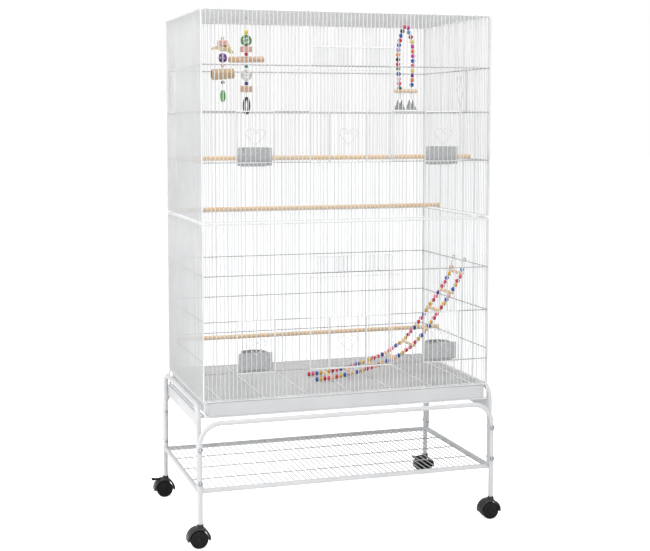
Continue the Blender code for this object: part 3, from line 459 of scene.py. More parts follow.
shelf_welds = weld_grid((first_x, first_y, (cross_z + long_z) / 2), (SHELF_GAPS - 1, SHELF_LONG_WIRES),
                        ((shelf_pitch, 0, 0), (0, long_gap, 0)), SHELF_WIRE * WELD_SHARE)
# The long wires and their welds take the darkest coat, as painted shade under the fine wires.
shelf_parts.append(dressed(joined([shelf_long, shelf_welds]), PAINTED_SHADE_WIRE_COAT))
for side_name, side in SIDES:
    for end_name, end in ENDS:
        stud = straight_wire((side * LEG_X, end * SIDE_LEG_Y, SHELF_Z),
                             (side * LEG_X, end * SIDE_LEG_Y, STUD_TOP), STUD_RADIUS, 24)
        shelf_parts.append(dressed(stud, SHELF_COAT))
finished(joined(shelf_parts), "wire_shelf", None, ["shelf"])


# Bolts. Zinc-plated button heads with a hex socket and a washer in front of each end leg, and a
# domed nut behind the side leg.
BOLT_Z = (0.1645, 0.250)
BOLT_RADIUS = 0.0019
HEAD_RADIUS = 0.0058
HEAD_HEIGHT = 0.0034
WASHER = 0.0008
NUT_RADIUS = 0.0050
NUT_HEIGHT = 0.0045

ZINC = grained("zinc_plate", (0.50, 0.51, 0.53), (0.38, 0.39, 0.41), 0.26, 1500, 90, 0.00003, metallic=1.0)


def copied(piece, shift=(0, 0, 0), turn=0.0):
    """A copy with its own mesh, turned about the cage's upright axis and then moved."""
    twin = piece.copy()
    twin.data = piece.data.copy()
    bpy.context.scene.collection.objects.link(twin)
    twin.data.transform(Matrix.Translation(shift) @ Matrix.Rotation(turn, 4, "Z"))
    return twin


def turned_profile(profile, place, axis, sides):
    """A turned solid: a line of (along, radius) points spun round an axis through a place."""
    place = Vector(place)
    axis = Vector(axis).normalized()
    across = axis.orthogonal().normalized()
    solid = added(bpy.ops.mesh.primitive_plane_add, size=1, location=(0, 0, 0))
    edited()
    bpy.ops.mesh.merge(type="CENTER")
    at = place + axis * profile[0][0] + across * profile[0][1]
    bpy.ops.transform.translate(value=at)
    for along, radius in profile[1:]:
        following = place + axis * along + across * radius
        bpy.ops.mesh.extrude_vertices_move(TRANSFORM_OT_translate={"value": following - at})
        at = following
    bpy.ops.mesh.select_all(action="SELECT")
    bpy.ops.mesh.spin(steps=sides, angle=2 * math.pi, center=place, axis=axis)
    bpy.ops.mesh.select_all(action="SELECT")
    bpy.ops.mesh.remove_doubles(threshold=0.000005)
    faced_out()
    return solid


def domed(rise, radius, start, degrees):
    """The points of a dome's outline above a start, at these angles from its rim."""
    turns = [math.radians(angle) for angle in degrees]
    return [(start + rise * math.sin(turn), radius * math.cos(turn)) for turn in turns]


def bolt_and_nut():
    """One bolt at the front, drawn along -Y from its washer's seat at y = 0."""
    washer_radius = HEAD_RADIUS * 1.15
    socket_floor = WASHER + HEAD_HEIGHT * 0.35
    head = turned_profile([(0, 0.0), (0, washer_radius), (WASHER, washer_radius), (WASHER, HEAD_RADIUS),
                           *domed(HEAD_HEIGHT, HEAD_RADIUS, WASHER, (18, 36, 54, 72)),
                           (WASHER + HEAD_HEIGHT, HEAD_RADIUS * 0.24), (socket_floor, HEAD_RADIUS * 0.22),
                           (socket_floor, 0.0)], (0, 0, 0), (0, -1, 0), 24)
    seat = 4 * TUBE_RADIUS + 3 * CLEARANCE
    shank = straight_wire((0, -0.0005, 0), (0, seat + NUT_HEIGHT * 0.6, 0), BOLT_RADIUS, 12)
    shoulder = NUT_HEIGHT * 0.55
    nut = turned_profile([(0, 0.0), (0, NUT_RADIUS), (shoulder, NUT_RADIUS),
                          *domed(NUT_HEIGHT * 0.6, NUT_RADIUS * 0.86, shoulder, (30, 55, 75)),
                          (NUT_HEIGHT * 1.15, 0.0)], (0, seat, 0), (0, 1, 0), 6)
    return joined([head, shank, nut])


bolt = bolt_and_nut()
for side_name, side in SIDES:
    for end_name, end in ENDS:
        for level, z in zip(("low", "high"), BOLT_Z):
            where = f"{end_name}_{side_name}_{level}"
            seat = Vector((side * LEG_X, end * (LEG_Y + TUBE_RADIUS + CLEARANCE), z))
            one = copied(bolt, seat, math.pi if end > 0 else 0)
            finished(one, f"button_bolt_{where}", ZINC, [f"bolt_{where}"])
bpy.data.objects.remove(bolt)


# Casters. Twin nylon wheels on one axle under a moulded hood, whose stem is pushed up into the leg.
# The two at the rear have a brake pedal at the back of the hood.
WHEEL_RADIUS = 0.023
WHEEL_WIDTH = 0.0115
WHEEL_SPAN = 0.030
TRAIL = 0.005
AXLE_RADIUS = 0.0030
HOOD_INNER = 0.0255
HOOD_OUTER = 0.0300
HOOD_TIP_DROP = 0.004
HOOD_WIDTH = 0.032
WEB_THICKNESS = 0.0040
WEB_HALF_WIDTH = 0.008
STEM_RADIUS = 0.0050
STEM_RISE = 0.035
BOSS_RADIUS = 0.0085
AXLE_BOSS = 0.0062
COLLAR_FLARE = 0.003
COLLAR_EDGE = 0.0012
STEM_EDGE = 0.001
LEVER_REACH = 0.036
LEVER_ROOT = 0.0095
LEVER_THICKNESS = 0.0050
LEVER_WIDTH = 0.016
LEVER_Z = 0.0490
TOE_LENGTH = 0.010
NECK_START = 0.008
RIDGE_START = 0.003
RIDGE_PITCH = 0.002
RIDGE_RADIUS = 0.0005
RIDGES = 3
WHEEL_TREAD_EDGE = 0.0016
HOOD_MIDDLE = (HOOD_INNER + HOOD_OUTER) / 2

# The wheel's dished face, from the hub outwards: depth below the face, and radius
WHEEL_FACE = ((0.0012, 0.0), (0.0012, 0.0070), (0, 0.0078), (0, 0.0092), (0.0016, 0.0104), (0.0018, 0.0180),
              (0.0003, 0.0192))

WHEEL_PLASTIC = grained("wheel_nylon", (0.010, 0.010, 0.0105), (0.006, 0.006, 0.0065), 0.42, 1300, 40,
                        0.00006)
HOOD_PLASTIC = grained("hood_nylon", (0.028, 0.028, 0.029), (0.018, 0.018, 0.019), 0.30, 1100, 35, 0.00007)
WHEEL_PLASTIC.node_tree.nodes["Principled BSDF"].inputs["Specular IOR Level"].default_value = 0.22


def box(low, high):
    """A plain box between two corners."""
    low = Vector(low)
    high = Vector(high)
    return formed(bpy.ops.mesh.primitive_cube_add, size=1, location=(low + high) / 2, scale=high - low)


def slab(low, high, edge, segments=2):
    """A box between two corners with rounded edges."""
    block = box(low, high)
    edited()
    bpy.ops.mesh.bevel(offset=edge, segments=segments)
    bpy.ops.object.mode_set(mode="OBJECT")
    return block


def mirrored(points):
    """An outline that is drawn up to its middle, with its other half added."""
    return [*points, *((-along, radius) for along, radius in reversed(points))]


def wheel_pair():
    """Two dished wheels with rounded treads on one axle, round the Y axis at the origin."""
    half = WHEEL_SPAN / 2
    inner = half - WHEEL_WIDTH
    soft = WHEEL_TREAD_EDGE
    profile = [(-half + depth, radius) for depth, radius in WHEEL_FACE]
    profile += [(-half, WHEEL_RADIUS - soft), (-half + soft * 0.3, WHEEL_RADIUS - soft * 0.3),
                (-half + soft, WHEEL_RADIUS), (-inner - soft, WHEEL_RADIUS),
                (-inner - soft * 0.3, WHEEL_RADIUS - soft * 0.3), (-inner, WHEEL_RADIUS - soft),
                (-inner, AXLE_RADIUS)]
    return turned_profile(mirrored(profile), (0, 0, 0), (0, 1, 0), 48)


def spun_roof():
    """The hood's roof: a rounded strip spun over the wheels, with its tips drawn in."""
    thick = HOOD_OUTER - HOOD_INNER
    strip = added(bpy.ops.mesh.primitive_plane_add, size=1, location=(0, 0, 0))
    strip.scale = (thick, HOOD_WIDTH, 1)
    bpy.ops.object.transform_apply()
    edited()
    bpy.ops.mesh.bevel(offset=thick * 0.35, segments=3, affect="VERTICES")
    bpy.ops.mesh.select_all(action="SELECT")
    bpy.ops.transform.translate(value=(HOOD_MIDDLE, 0, 0))
    start = math.asin(HOOD_TIP_DROP / HOOD_OUTER)
    bpy.ops.mesh.spin(steps=30, angle=math.pi + 2 * start, center=(0, 0, 0), axis=(0, 1, 0))
    faced_out()
    strip.data.transform(Matrix.Rotation(start, 4, "Y"))
    for vertex in strip.data.vertices:
        low = max(0.0, 0.3 - vertex.co.z / HOOD_OUTER)
        vertex.co.y *= 1 - 0.30 * min(1.0, low)
    return strip


def ribs_under_roof():
    """The web between the wheels with the axle's boss on it."""
    web = slab((-WEB_HALF_WIDTH, -WEB_THICKNESS / 2, -WEB_HALF_WIDTH),
               (WEB_HALF_WIDTH, WEB_THICKNESS / 2, HOOD_MIDDLE), 0.0006)
    half = WEB_THICKNESS * 0.7
    bore = AXLE_RADIUS + CLEARANCE
    outline = [(-half, bore), (-half, AXLE_BOSS), (half, AXLE_BOSS), (half, bore), (-half, bore)]
    boss = turned_profile(outline, (0, 0, 0), (0, 1, 0), 24)
    return [web, boss]


def hood():
    """Roof, web, collar and stem, with the wheel's centre at the origin."""
    collar_top = LEG_FOOT_Z - WHEEL_RADIUS - CLEARANCE
    stem_top = collar_top + STEM_RISE
    outline = [(HOOD_MIDDLE, 0.0), (HOOD_MIDDLE, BOSS_RADIUS * 1.15),
               (HOOD_MIDDLE + COLLAR_FLARE, BOSS_RADIUS), (collar_top - COLLAR_EDGE, BOSS_RADIUS),
               (collar_top, BOSS_RADIUS - COLLAR_EDGE),
               (collar_top, STEM_RADIUS), (stem_top - STEM_EDGE, STEM_RADIUS),
               (stem_top, STEM_RADIUS - STEM_EDGE), (stem_top, 0.0)]
    stem = turned_profile(outline, (TRAIL, 0, 0), (0, 0, 1), 28)
    return joined([spun_roof(), *ribs_under_roof(), stem])


def pedal():
    """The brake pedal: a thick tongue with grip ridges, its neck let into the top of the hood."""
    foot = LEVER_Z - WHEEL_RADIUS
    top = foot + LEVER_THICKNESS
    toe = slab((-LEVER_REACH, -LEVER_WIDTH / 2, foot), (-LEVER_REACH + TOE_LENGTH, LEVER_WIDTH / 2, top),
               0.0016, 3)
    neck = slab((-LEVER_REACH + NECK_START, -LEVER_WIDTH * 0.28, foot + 0.0004),
                (-LEVER_ROOT, LEVER_WIDTH * 0.28, top - 0.0006), 0.0009)
    first = -LEVER_REACH + RIDGE_START
    reach = LEVER_WIDTH * 0.36
    ridge = repeated(straight_wire((first, -reach, top), (first, reach, top), RIDGE_RADIUS, 8), RIDGES,
                     (RIDGE_PITCH, 0, 0))
    return joined([toe, neck, ridge])


wheels = wheel_pair()
cover = hood()
brake = pedal()
for side_name, side in SIDES:
    for end_name, end in ENDS:
        where = f"{end_name}_{side_name}"
        centre = (side * LEG_X - TRAIL, end * LEG_Y, WHEEL_RADIUS)
        finished(copied(wheels, centre), f"twin_wheels_{where}", WHEEL_PLASTIC, [f"caster_wheels_{where}"],
                 f"wheels_{where}", 30)
        finished(copied(cover, centre), f"wheel_hood_{where}", HOOD_PLASTIC, [f"caster_hood_{where}"],
                 f"caster_{where}", 40)
        if end > 0:
            lever = f"brake_lever_{side_name}"
            finished(copied(brake, centre), f"brake_pedal_{side_name}", WHEEL_PLASTIC, [lever], lever,
                     40)
for pattern in (wheels, cover, brake):
    bpy.data.objects.remove(pattern)


# Cage walls. Each panel is a frame of 4 mm wire bent round its corners, filled with fine uprights
# that are spot welded to cross wires behind them, all powder coated white. The cross wires are drawn
# in a darker grey, as painted shade behind the uprights. Each panel is drawn as the front panel with
# its outer face at y = 0, and then turned to its side of the cage.
CAGE_WIDTH = 0.780
CAGE_DEPTH = 0.465
CAGE_HEIGHT = 0.985
CAGE_FLOOR_Z = 0.370
TIER_JOINT = 0.453
TIER_GAP = 0.007
WIRE = 0.0021
BAR = 0.0030
RAIL = 0.0040
PANEL_DEPTH = 0.0055
FRONT_GAPS = 72
SIDE_GAPS = 42
LOW_SIDE_LINE = 0.098
FRAME_BEND = 0.0045
DOOR_HALF_OPENING = 0.108
FEEDER_CENTRE = 0.2545
FEEDER_HALF_OPENING = 0.0485
RIGHT_DOOR_Y = -0.023
LEFT_DOOR_Y = 0.139
FRONT_FACE = CAGE_DEPTH / 2 + PANEL_DEPTH / 2
SIDE_FACE = CAGE_WIDTH / 2 + PANEL_DEPTH / 2
SIDE_SPAN = CAGE_DEPTH - PANEL_DEPTH - 2 * CLEARANCE - RAIL
ROOF_Z = CAGE_FLOOR_Z + CAGE_HEIGHT
UPRIGHT_Y = 0.0015
RAIL_Y = PANEL_DEPTH / 2
CROSS_Y = 0.0041
SAME_PLACE = 1e-6

WIRE_COAT = grained("wire_powder_coat", (0.81, 0.81, 0.805), (0.75, 0.75, 0.745), 0.32, 900, 14, 0.00006)

# Each tier's name and its heights: foot, head, sill, top of the feeder openings, top of the door
TIERS = (("lower", 0.0, TIER_JOINT - TIER_GAP / 2, 0.0708, 0.203, 0.319),
         ("upper", TIER_JOINT + TIER_GAP / 2, CAGE_HEIGHT, 0.6045, 0.7325, 0.8485))

# Each side wall's name, its quarter turns from the front, and its door's middle along it
SIDE_WALLS = (("right", 1, RIGHT_DOOR_Y), ("left", 3, -LEFT_DOOR_Y))


def on_wire(place, span, gaps):
    """The place of the upright nearest to a place, from the panel's middle."""
    pitch = span / gaps
    return round(place / pitch) * pitch


def upright_rows(span, gaps, low, high, holes):
    """Runs of like uprights, each (first place, count, foot, head), broken round the holes."""
    pitch = span / gaps
    runs = []
    for index in range(1, gaps):
        at = -span / 2 + index * pitch
        stops = [low]
        for left, right, sill, head in sorted(holes, key=lambda hole: hole[2]):
            on_edge = any(math.isclose(at, edge, abs_tol=SAME_PLACE) for edge in (left, right))
            if left - pitch / 2 < at < right + pitch / 2 and not on_edge:
                stops += [sill, head]
        stops.append(high)
        for foot, head in zip(stops[::2], stops[1::2]):
            for run in runs:
                follows = math.isclose(run[0] + run[1] * pitch, at, abs_tol=SAME_PLACE)
                if follows and run[2:] == [foot, head]:
                    run[1] += 1
                    break
            else:
                runs.append([at, 1, foot, head])
    return runs


def wire_panel(span, gaps, low, high, lines, holes):
    """The pieces of one panel, from its foot rail to its head rail."""
    half = span / 2
    pitch = span / gaps
    over = RAIL * 0.35
    inside = RAIL * 0.3
    corners = [(-half, RAIL_Y, low), (half, RAIL_Y, low), (half, RAIL_Y, high), (-half, RAIL_Y, high)]
    parts = [bent_bar(corners, RAIL / 2, FRAME_BEND, closed=True)]
    for at, count, foot, head in upright_rows(span, gaps, low, high, holes):
        start = foot + inside if foot == low else foot - over
        stop = head - inside if head == high else head + over
        upright = straight_wire((at, UPRIGHT_Y, start), (at, UPRIGHT_Y, stop), WIRE / 2)
        parts.append(repeated(upright, count, (pitch, 0, 0)))
    crossing = []
    for line in lines:
        breaks = [-half]
        for left, right, sill, head in sorted(holes):
            if sill + BAR < line < head - BAR:
                breaks += [left, right]
        breaks.append(half)
        for start, end in zip(breaks[::2], breaks[1::2]):
            crossing.append(straight_wire((start - over, CROSS_Y, line), (end + over, CROSS_Y, line),
                                          BAR / 2))
            first = math.ceil((start + half) / pitch + 0.01)
            last = math.floor((end + half) / pitch - 0.01)
            crossing.append(weld_grid((-half + first * pitch, (UPRIGHT_Y + CROSS_Y) / 2, line),
                                      (last - first + 1,), ((pitch, 0, 0),), WIRE * WELD_SHARE))
    for left, right, sill, head in holes:
        for edge in (left, right):
            parts.append(straight_wire((edge, UPRIGHT_Y, sill - over), (edge, UPRIGHT_Y, head + over),
                                       BAR / 2))
        for edge in (sill, head):
            crossing.append(straight_wire((left, CROSS_Y, edge), (right, CROSS_Y, edge), BAR / 2))
    # The cross wires take the darker coat, as painted shade behind the uprights.
    return joined([dressed(joined(parts), WIRE_COAT), dressed(joined(crossing), PAINTED_SHADE_WIRE_COAT)])


def hole_between(middle, half_width, span, gaps, sill, head):
    """An opening whose sides are on uprights."""
    return (on_wire(middle - half_width, span, gaps), on_wire(middle + half_width, span, gaps), sill, head)


def stood(panel, quarter_turns, distance):
    """The drawn panel moved out to its wall and turned to its side."""
    panel.data.transform(Matrix.Rotation(quarter_turns * math.pi / 2, 4, "Z")
                         @ Matrix.Translation((0, -distance, CAGE_FLOOR_Z)))
    return panel


for tier, low, high, sill, feeder_head, door_head in TIERS:
    holes = [hole_between(0, DOOR_HALF_OPENING, CAGE_WIDTH, FRONT_GAPS, sill, door_head)]
    for side_name, side in SIDES:
        holes.append(hole_between(side * FEEDER_CENTRE, FEEDER_HALF_OPENING, CAGE_WIDTH, FRONT_GAPS, sill,
                                  feeder_head))
    lines = (sill, feeder_head, door_head)
    wall = stood(wire_panel(CAGE_WIDTH, FRONT_GAPS, low, high, lines, holes), 0, FRONT_FACE)
    finished(wall, f"front_wall_{tier}", None, [f"front_panel_{tier}"])
    if tier == "lower":
        lines = (LOW_SIDE_LINE, feeder_head, door_head)
    wall = stood(wire_panel(CAGE_WIDTH, FRONT_GAPS, low, high, lines, []), 2, FRONT_FACE)
    finished(wall, f"rear_wall_{tier}", None, [f"rear_panel_{tier}"])
    for side_name, quarter_turns, middle in SIDE_WALLS:
        holes = []
        if tier == "upper":
            holes = [hole_between(middle, FEEDER_HALF_OPENING, SIDE_SPAN, SIDE_GAPS, feeder_head, door_head)]
        wall = stood(wire_panel(SIDE_SPAN, SIDE_GAPS, low, high, lines, holes), quarter_turns, SIDE_FACE)
        finished(wall, f"{side_name}_wall_{tier}", None, [f"{side_name}_panel_{tier}"])


# Roof and floor. Fine wires from side to side inside a frame, hung under seven stouter wires whose
# ends are hooked over the rails of the front and rear walls.
GRILLE_GAPS = 42
GRILLE_SUPPORTS = 7
GRILLE_SUPPORT_PITCH = 0.115
HOOK_REACH = 0.0030


def hooked_wire(x, z, half, radius, drop):
    """A wire from front to rear with both ends bent down over the rails."""
    return bent_bar([(x, -half, z - drop), (x, -half, z), (x, half, z), (x, half, z - drop)],
                    radius, radius * 1.25, 10)


def grille(rail_z):
    """Frame, fine wires, welds and hooked supports, lying on rails at a height."""
    half_x = CAGE_WIDTH / 2 - PANEL_DEPTH / 2 - RAIL / 2 - CLEARANCE
    half_y = CAGE_DEPTH / 2 - PANEL_DEPTH / 2 - RAIL / 2 - CLEARANCE
    support_z = rail_z + RAIL / 2 + BAR / 2
    fine_z = support_z - BAR / 2 - WIRE * 0.4
    parts = [level_frame(half_x, half_y, support_z - BAR * 0.35, RAIL / 2, FRAME_BEND)]
    pitch = 2 * half_y / GRILLE_GAPS
    fine = straight_wire((-half_x, -half_y + pitch, fine_z), (half_x, -half_y + pitch, fine_z), WIRE / 2)
    parts.append(repeated(fine, GRILLE_GAPS - 1, (0, pitch, 0)))
    first = -(GRILLE_SUPPORTS - 1) / 2 * GRILLE_SUPPORT_PITCH
    support = hooked_wire(first, support_z, CAGE_DEPTH / 2 + HOOK_REACH, BAR / 2, RAIL)
    parts.append(repeated(support, GRILLE_SUPPORTS, (GRILLE_SUPPORT_PITCH, 0, 0)))
    parts.append(weld_grid((first, -half_y + pitch, fine_z + WIRE * 0.35),
                           (GRILLE_SUPPORTS, GRILLE_GAPS - 1),
                           ((GRILLE_SUPPORT_PITCH, 0, 0), (0, pitch, 0)), WIRE * 0.6))
    return joined(parts)


for name, rail_z in (("roof", ROOF_Z), ("floor", CAGE_FLOOR_Z)):
    finished(grille(rail_z), f"{name}_wires", WIRE_COAT, [f"{name}_grille"])


# Wire base. A rectangle of 4 mm wire under the tray, five wires across it for the tray to slide
# on, and bent corner wires that stand up to the wall panels.
BASE_SUPPORTS = 5
BASE_SUPPORT_PITCH = 0.131
POST_FOOT = 0.012
POST_INSET = 0.001
POST_RISE = 0.003
POST_BEND = 0.004

base_x = CAGE_WIDTH / 2
base_y = CAGE_DEPTH / 2
base_parts = [level_frame(base_x, base_y, BASE_Z, BASE_WIRE / 2, FRAME_BEND)]
first = -(BASE_SUPPORTS - 1) / 2 * BASE_SUPPORT_PITCH
runner = hooked_wire(first, BASE_Z, base_y + HOOK_REACH, BASE_WIRE / 2 * 0.9, BASE_WIRE)
base_parts.append(repeated(runner, BASE_SUPPORTS, (BASE_SUPPORT_PITCH, 0, 0)))
for side_name, side in SIDES:
    for end_name, end in ENDS:
        top = CAGE_FLOOR_Z - RAIL / 2 - CLEARANCE
        base_parts.append(bent_bar([(side * (base_x - POST_FOOT), end * base_y, BASE_Z + POST_RISE),
                                    (side * (base_x - POST_INSET), end * base_y, BASE_Z + POST_RISE),
                                    (side * (base_x - POST_INSET), end * base_y, top)],
                                   BASE_WIRE / 2, POST_BEND))
finished(joined(base_parts), "tray_runners", WIRE_COAT, ["wire_base"])


# Tray. A shallow vacuum-formed pan of light grey plastic with rounded corners and a rolled lip
# along the front to pull it out by.
TRAY_WIDTH = 0.764
TRAY_WALL = 0.0022
TRAY_CORNER = 0.012
TRAY_BOTTOM = BASE_Z + BASE_WIRE / 2 + CLEARANCE
TRAY_TOP = CAGE_FLOOR_Z - RAIL / 2 - CLEARANCE
TRAY_FOOT_BEND = 0.006
SAME_EDGE = 0.0001
TRAY_LIP = 0.0030

TRAY_PLASTIC = grained("tray_plastic", (0.66, 0.66, 0.66), (0.62, 0.62, 0.625), 0.42, 1600, 12, 0.00004)


def pan(low, high, wall, front_corner, rear_corner, foot):
    """An open dish: a box with rounded corners and foot, its top opened and its wall thickened."""
    low = Vector(low)
    high = Vector(high)
    dish = box(low, high)
    edited(False)
    bpy.ops.object.mode_set(mode="OBJECT")
    for face in dish.data.polygons:
        face.select = face.normal.z > 0.5
    bpy.ops.object.mode_set(mode="EDIT")
    bpy.ops.mesh.delete(type="ONLY_FACE")
    bpy.ops.object.mode_set(mode="OBJECT")
    for y, corner in ((high.y, rear_corner), (low.y, front_corner)):
        for part in (*dish.data.polygons, *dish.data.edges, *dish.data.vertices):
            part.select = False
        for edge in dish.data.edges:
            ends = [dish.data.vertices[index].co for index in edge.vertices]
            upright = abs(ends[0].z - ends[1].z) > 0.5 * (high.z - low.z)
            edge.select = upright and abs(ends[0].y - y) < SAME_EDGE
        bpy.ops.object.mode_set(mode="EDIT")
        bpy.ops.mesh.select_mode(type="EDGE")
        bpy.ops.mesh.bevel(offset=corner, segments=8)
        bpy.ops.object.mode_set(mode="OBJECT")
    for edge in dish.data.edges:
        ends = [dish.data.vertices[index].co.z for index in edge.vertices]
        edge.select = max(ends) < low.z + SAME_EDGE
    bpy.ops.object.mode_set(mode="EDIT")
    bpy.ops.mesh.bevel(offset=foot, segments=3)
    bpy.ops.mesh.select_mode(type="VERT")
    faced_out()
    return modified(dish, "SOLIDIFY", thickness=wall, offset=-1)


tray_rear = CAGE_DEPTH / 2 - BASE_WIRE / 2 - CLEARANCE
tray_pan = pan((-TRAY_WIDTH / 2, -FRONT_FACE, TRAY_BOTTOM), (TRAY_WIDTH / 2, tray_rear, TRAY_TOP), TRAY_WALL,
               TRAY_CORNER, TRAY_CORNER, TRAY_FOOT_BEND)
lip = bent_bar([(-TRAY_WIDTH / 2 + TRAY_CORNER, -FRONT_FACE + TRAY_LIP * 0.6, TRAY_TOP - TRAY_LIP),
                (TRAY_WIDTH / 2 - TRAY_CORNER, -FRONT_FACE + TRAY_LIP * 0.6, TRAY_TOP - TRAY_LIP)],
               TRAY_LIP * 0.9, 0, 14)
finished(joined([tray_pan, lip]), "litter_tray", TRAY_PLASTIC, ["tray"], "tray")


# Main doors. One to a tier, framed in wire like the walls. The stouter bottom wire turns in two
# loops on the wall's sill, and a long latch wire across the front holds the door shut.
DOOR_WIDTH = 0.227
DOOR_DEPTH = 0.0040
DOOR_STANDOFF = 0.0012
DOOR_GAPS = 22
DOOR_LAP = {"lower": 0.0448, "upper": 0.0490}
LATCH_DROP = 0.011
LATCH_LEFT = 0.041
LATCH_RIGHT = 0.020
MIDDLE_FEEDER_X = -0.0095
HINGE_LOOPS_X = (-0.0865, 0.0865)
HINGE_WIRE = 0.0008
HINGE_BEND = 0.0018


def door_grille(middle, width, gaps, low, high, front, back, holes=()):
    """A framed grille between two depths, with a stouter foot and the rim of an opening in it."""
    centre = (front + back) / 2
    foot_radius = min(RAIL, back - front) / 2
    left = middle - width / 2 + BAR / 2
    right = middle + width / 2 - BAR / 2
    foot = low + foot_radius
    head = high - BAR / 2
    parts = [bent_bar([(left, centre, foot), (left, centre, head), (right, centre, head),
                       (right, centre, foot)], BAR / 2, FRAME_BEND, 12),
             straight_wire((middle - width / 2, centre, foot), (middle + width / 2, centre, foot),
                           foot_radius, 12)]
    pitch = (width - BAR) / gaps
    for at, count, start, stop in upright_rows(width - BAR, gaps, foot, head, holes):
        if stop - start > RAIL:
            x = middle + at
            y = back - WIRE / 2
            upright = straight_wire((x, y, start), (x, y, stop), WIRE / 2)
            parts.append(repeated(upright, count, (pitch, 0, 0)))
    for hole_left, hole_right, _, hole_head in holes:
        for edge in (hole_left, hole_right):
            x = middle + edge
            parts.append(straight_wire((x, centre, foot), (x, centre, hole_head), BAR / 2))
        parts.append(straight_wire((left, centre, hole_head), (right, centre, hole_head), BAR / 2))
    return parts


for tier, low, high, sill, feeder_head, door_head in TIERS:
    back = -DOOR_STANDOFF
    front = back - DOOR_DEPTH
    foot = sill - RAIL / 2
    hole = hole_between(MIDDLE_FEEDER_X, FEEDER_HALF_OPENING, DOOR_WIDTH - BAR, DOOR_GAPS, foot, feeder_head)
    parts = door_grille(0, DOOR_WIDTH, DOOR_GAPS, foot, door_head + DOOR_LAP[tier], front, back, [hole])
    latch_z = door_head - LATCH_DROP + WIRE / 2
    latch_y = front + WIRE / 2
    parts.append(straight_wire((-DOOR_WIDTH / 2 - LATCH_LEFT, latch_y, latch_z),
                               (DOOR_WIDTH / 2 + LATCH_RIGHT, latch_y, latch_z), WIRE / 2))
    finished(stood(joined(parts), 0, FRONT_FACE), f"hinged_door_{tier}", WIRE_COAT, [f"main_door_{tier}"],
             f"main_door_{tier}")
    hinge_y = (front + back) / 2
    reach = RAIL / 2 + HINGE_WIRE
    loops = []
    for x in HINGE_LOOPS_X:
        loops.append(bent_bar([(x, hinge_y - reach, sill - reach), (x, hinge_y - reach, sill + reach),
                               (x, CROSS_Y + reach, sill + reach), (x, CROSS_Y + reach, sill - reach)],
                              HINGE_WIRE, HINGE_BEND, 8, closed=True))
    finished(stood(joined(loops), 0, FRONT_FACE), f"hinge_loops_{tier}", WIRE_COAT)


# Feeder doors. Small grilles that slide up in front of the feeding openings, three to a tier, the
# middle one on the main door. Each carries a heart bent from finer wire.
FEEDER_WIDTH = 0.104
FEEDER_DEPTH = 0.0030
FEEDER_GAPS = 8
FEEDER_STANDOFF = 0.0005
HEART_WIRE = 0.0009
HEART_BEND = 0.0030
HEART_HALF_WIDTH = 0.0265
HEART_HEIGHT = 0.040
HEART_RISE = 0.046

# The heart's right half, as shares of its half width and its height, from the point up and round
HEART_SHAPE = ((0.02, 0.0), (1.0, 0.72), (0.74, 1.0), (0.22, 1.0), (0.08, 0.78), (0.40, 0.66))

HEART_COAT = grained("heart_powder_coat", (0.72, 0.72, 0.715), (0.66, 0.66, 0.655), 0.34, 900, 14, 0.00006)


def heart(middle, foot, height, y):
    """Two wires that rise from a point, turn over and curl inwards."""
    halves = []
    for side_name, side in SIDES:
        line = [(middle + side * across * HEART_HALF_WIDTH, y, foot + up * height)
                for across, up in HEART_SHAPE]
        halves.append(dressed(bent_bar(line, HEART_WIRE, HEART_BEND, 8), HEART_COAT))
    return halves


def small_door(middle, sill, head, face, height, rise):
    """A sliding grille over an opening, its back at a depth, with its heart on the front."""
    front = face - FEEDER_DEPTH
    low = sill - RAIL / 2
    parts = door_grille(middle, FEEDER_WIDTH, FEEDER_GAPS, low, head + RAIL / 2, front, face)
    whole = dressed(joined(parts), WIRE_COAT)
    return joined([whole, *heart(middle, low + rise, height, front + HEART_WIRE * 0.4)])


for tier, low, high, sill, feeder_head, door_head in TIERS:
    wall_gap = -FEEDER_STANDOFF
    door_gap = -DOOR_STANDOFF - DOOR_DEPTH - FEEDER_STANDOFF
    for place_name, x, face in (("left", -FEEDER_CENTRE, wall_gap), ("middle", MIDDLE_FEEDER_X, door_gap),
                                ("right", FEEDER_CENTRE, wall_gap)):
        where = f"{place_name}_{tier}"
        door = small_door(x, sill, feeder_head, face, HEART_HEIGHT, HEART_RISE)
        finished(stood(door, 0, FRONT_FACE), f"heart_door_{where}", None, [f"feeder_door_{where}"],
                 f"feeder_door_{where}")


# Side doors. One in each upper side wall, over the opening there. They are framed, coated and slid up
# as the feeder doors are, with a taller heart.
TALL_HEART_HEIGHT = 0.088
TALL_HEART_RISE = 0.014

opening_sill, opening_head = TIERS[1][-2:]
for side_name, quarter_turns, middle in SIDE_WALLS:
    door = small_door(middle, opening_sill, opening_head, -FEEDER_STANDOFF, TALL_HEART_HEIGHT,
                      TALL_HEART_RISE)
    finished(stood(door, quarter_turns, SIDE_FACE), f"heart_side_door_{side_name}", None,
             [f"side_door_{side_name}"], f"side_door_{side_name}")


# Cups. Moulded in smoke-grey translucent plastic: a bowl with a round back, a plate in front that
# stands behind the wires, and a lip that hooks over the sill.
CUP_FLANGE_WIDTH = 0.090
CUP_WIDTH = 0.064
CUP_HEIGHT = 0.046
CUP_REACH = 0.050
CUP_WALL = 0.0018
CUP_LIP_WIDTH = 0.060
CUP_BACK_BEND = 0.030
CUP_RIM = 0.0011
CUP_CORNER = 0.004
CUP_DROP = {"lower": -0.0032, "upper": 0.0085}

CUP_PLASTIC = grained("cup_plastic", (0.60, 0.605, 0.61), (0.55, 0.555, 0.56), 0.26, 500, 25, 0.00003)
CUP_PLASTIC.node_tree.nodes["Principled BSDF"].inputs["Transmission Weight"].default_value = 0.22


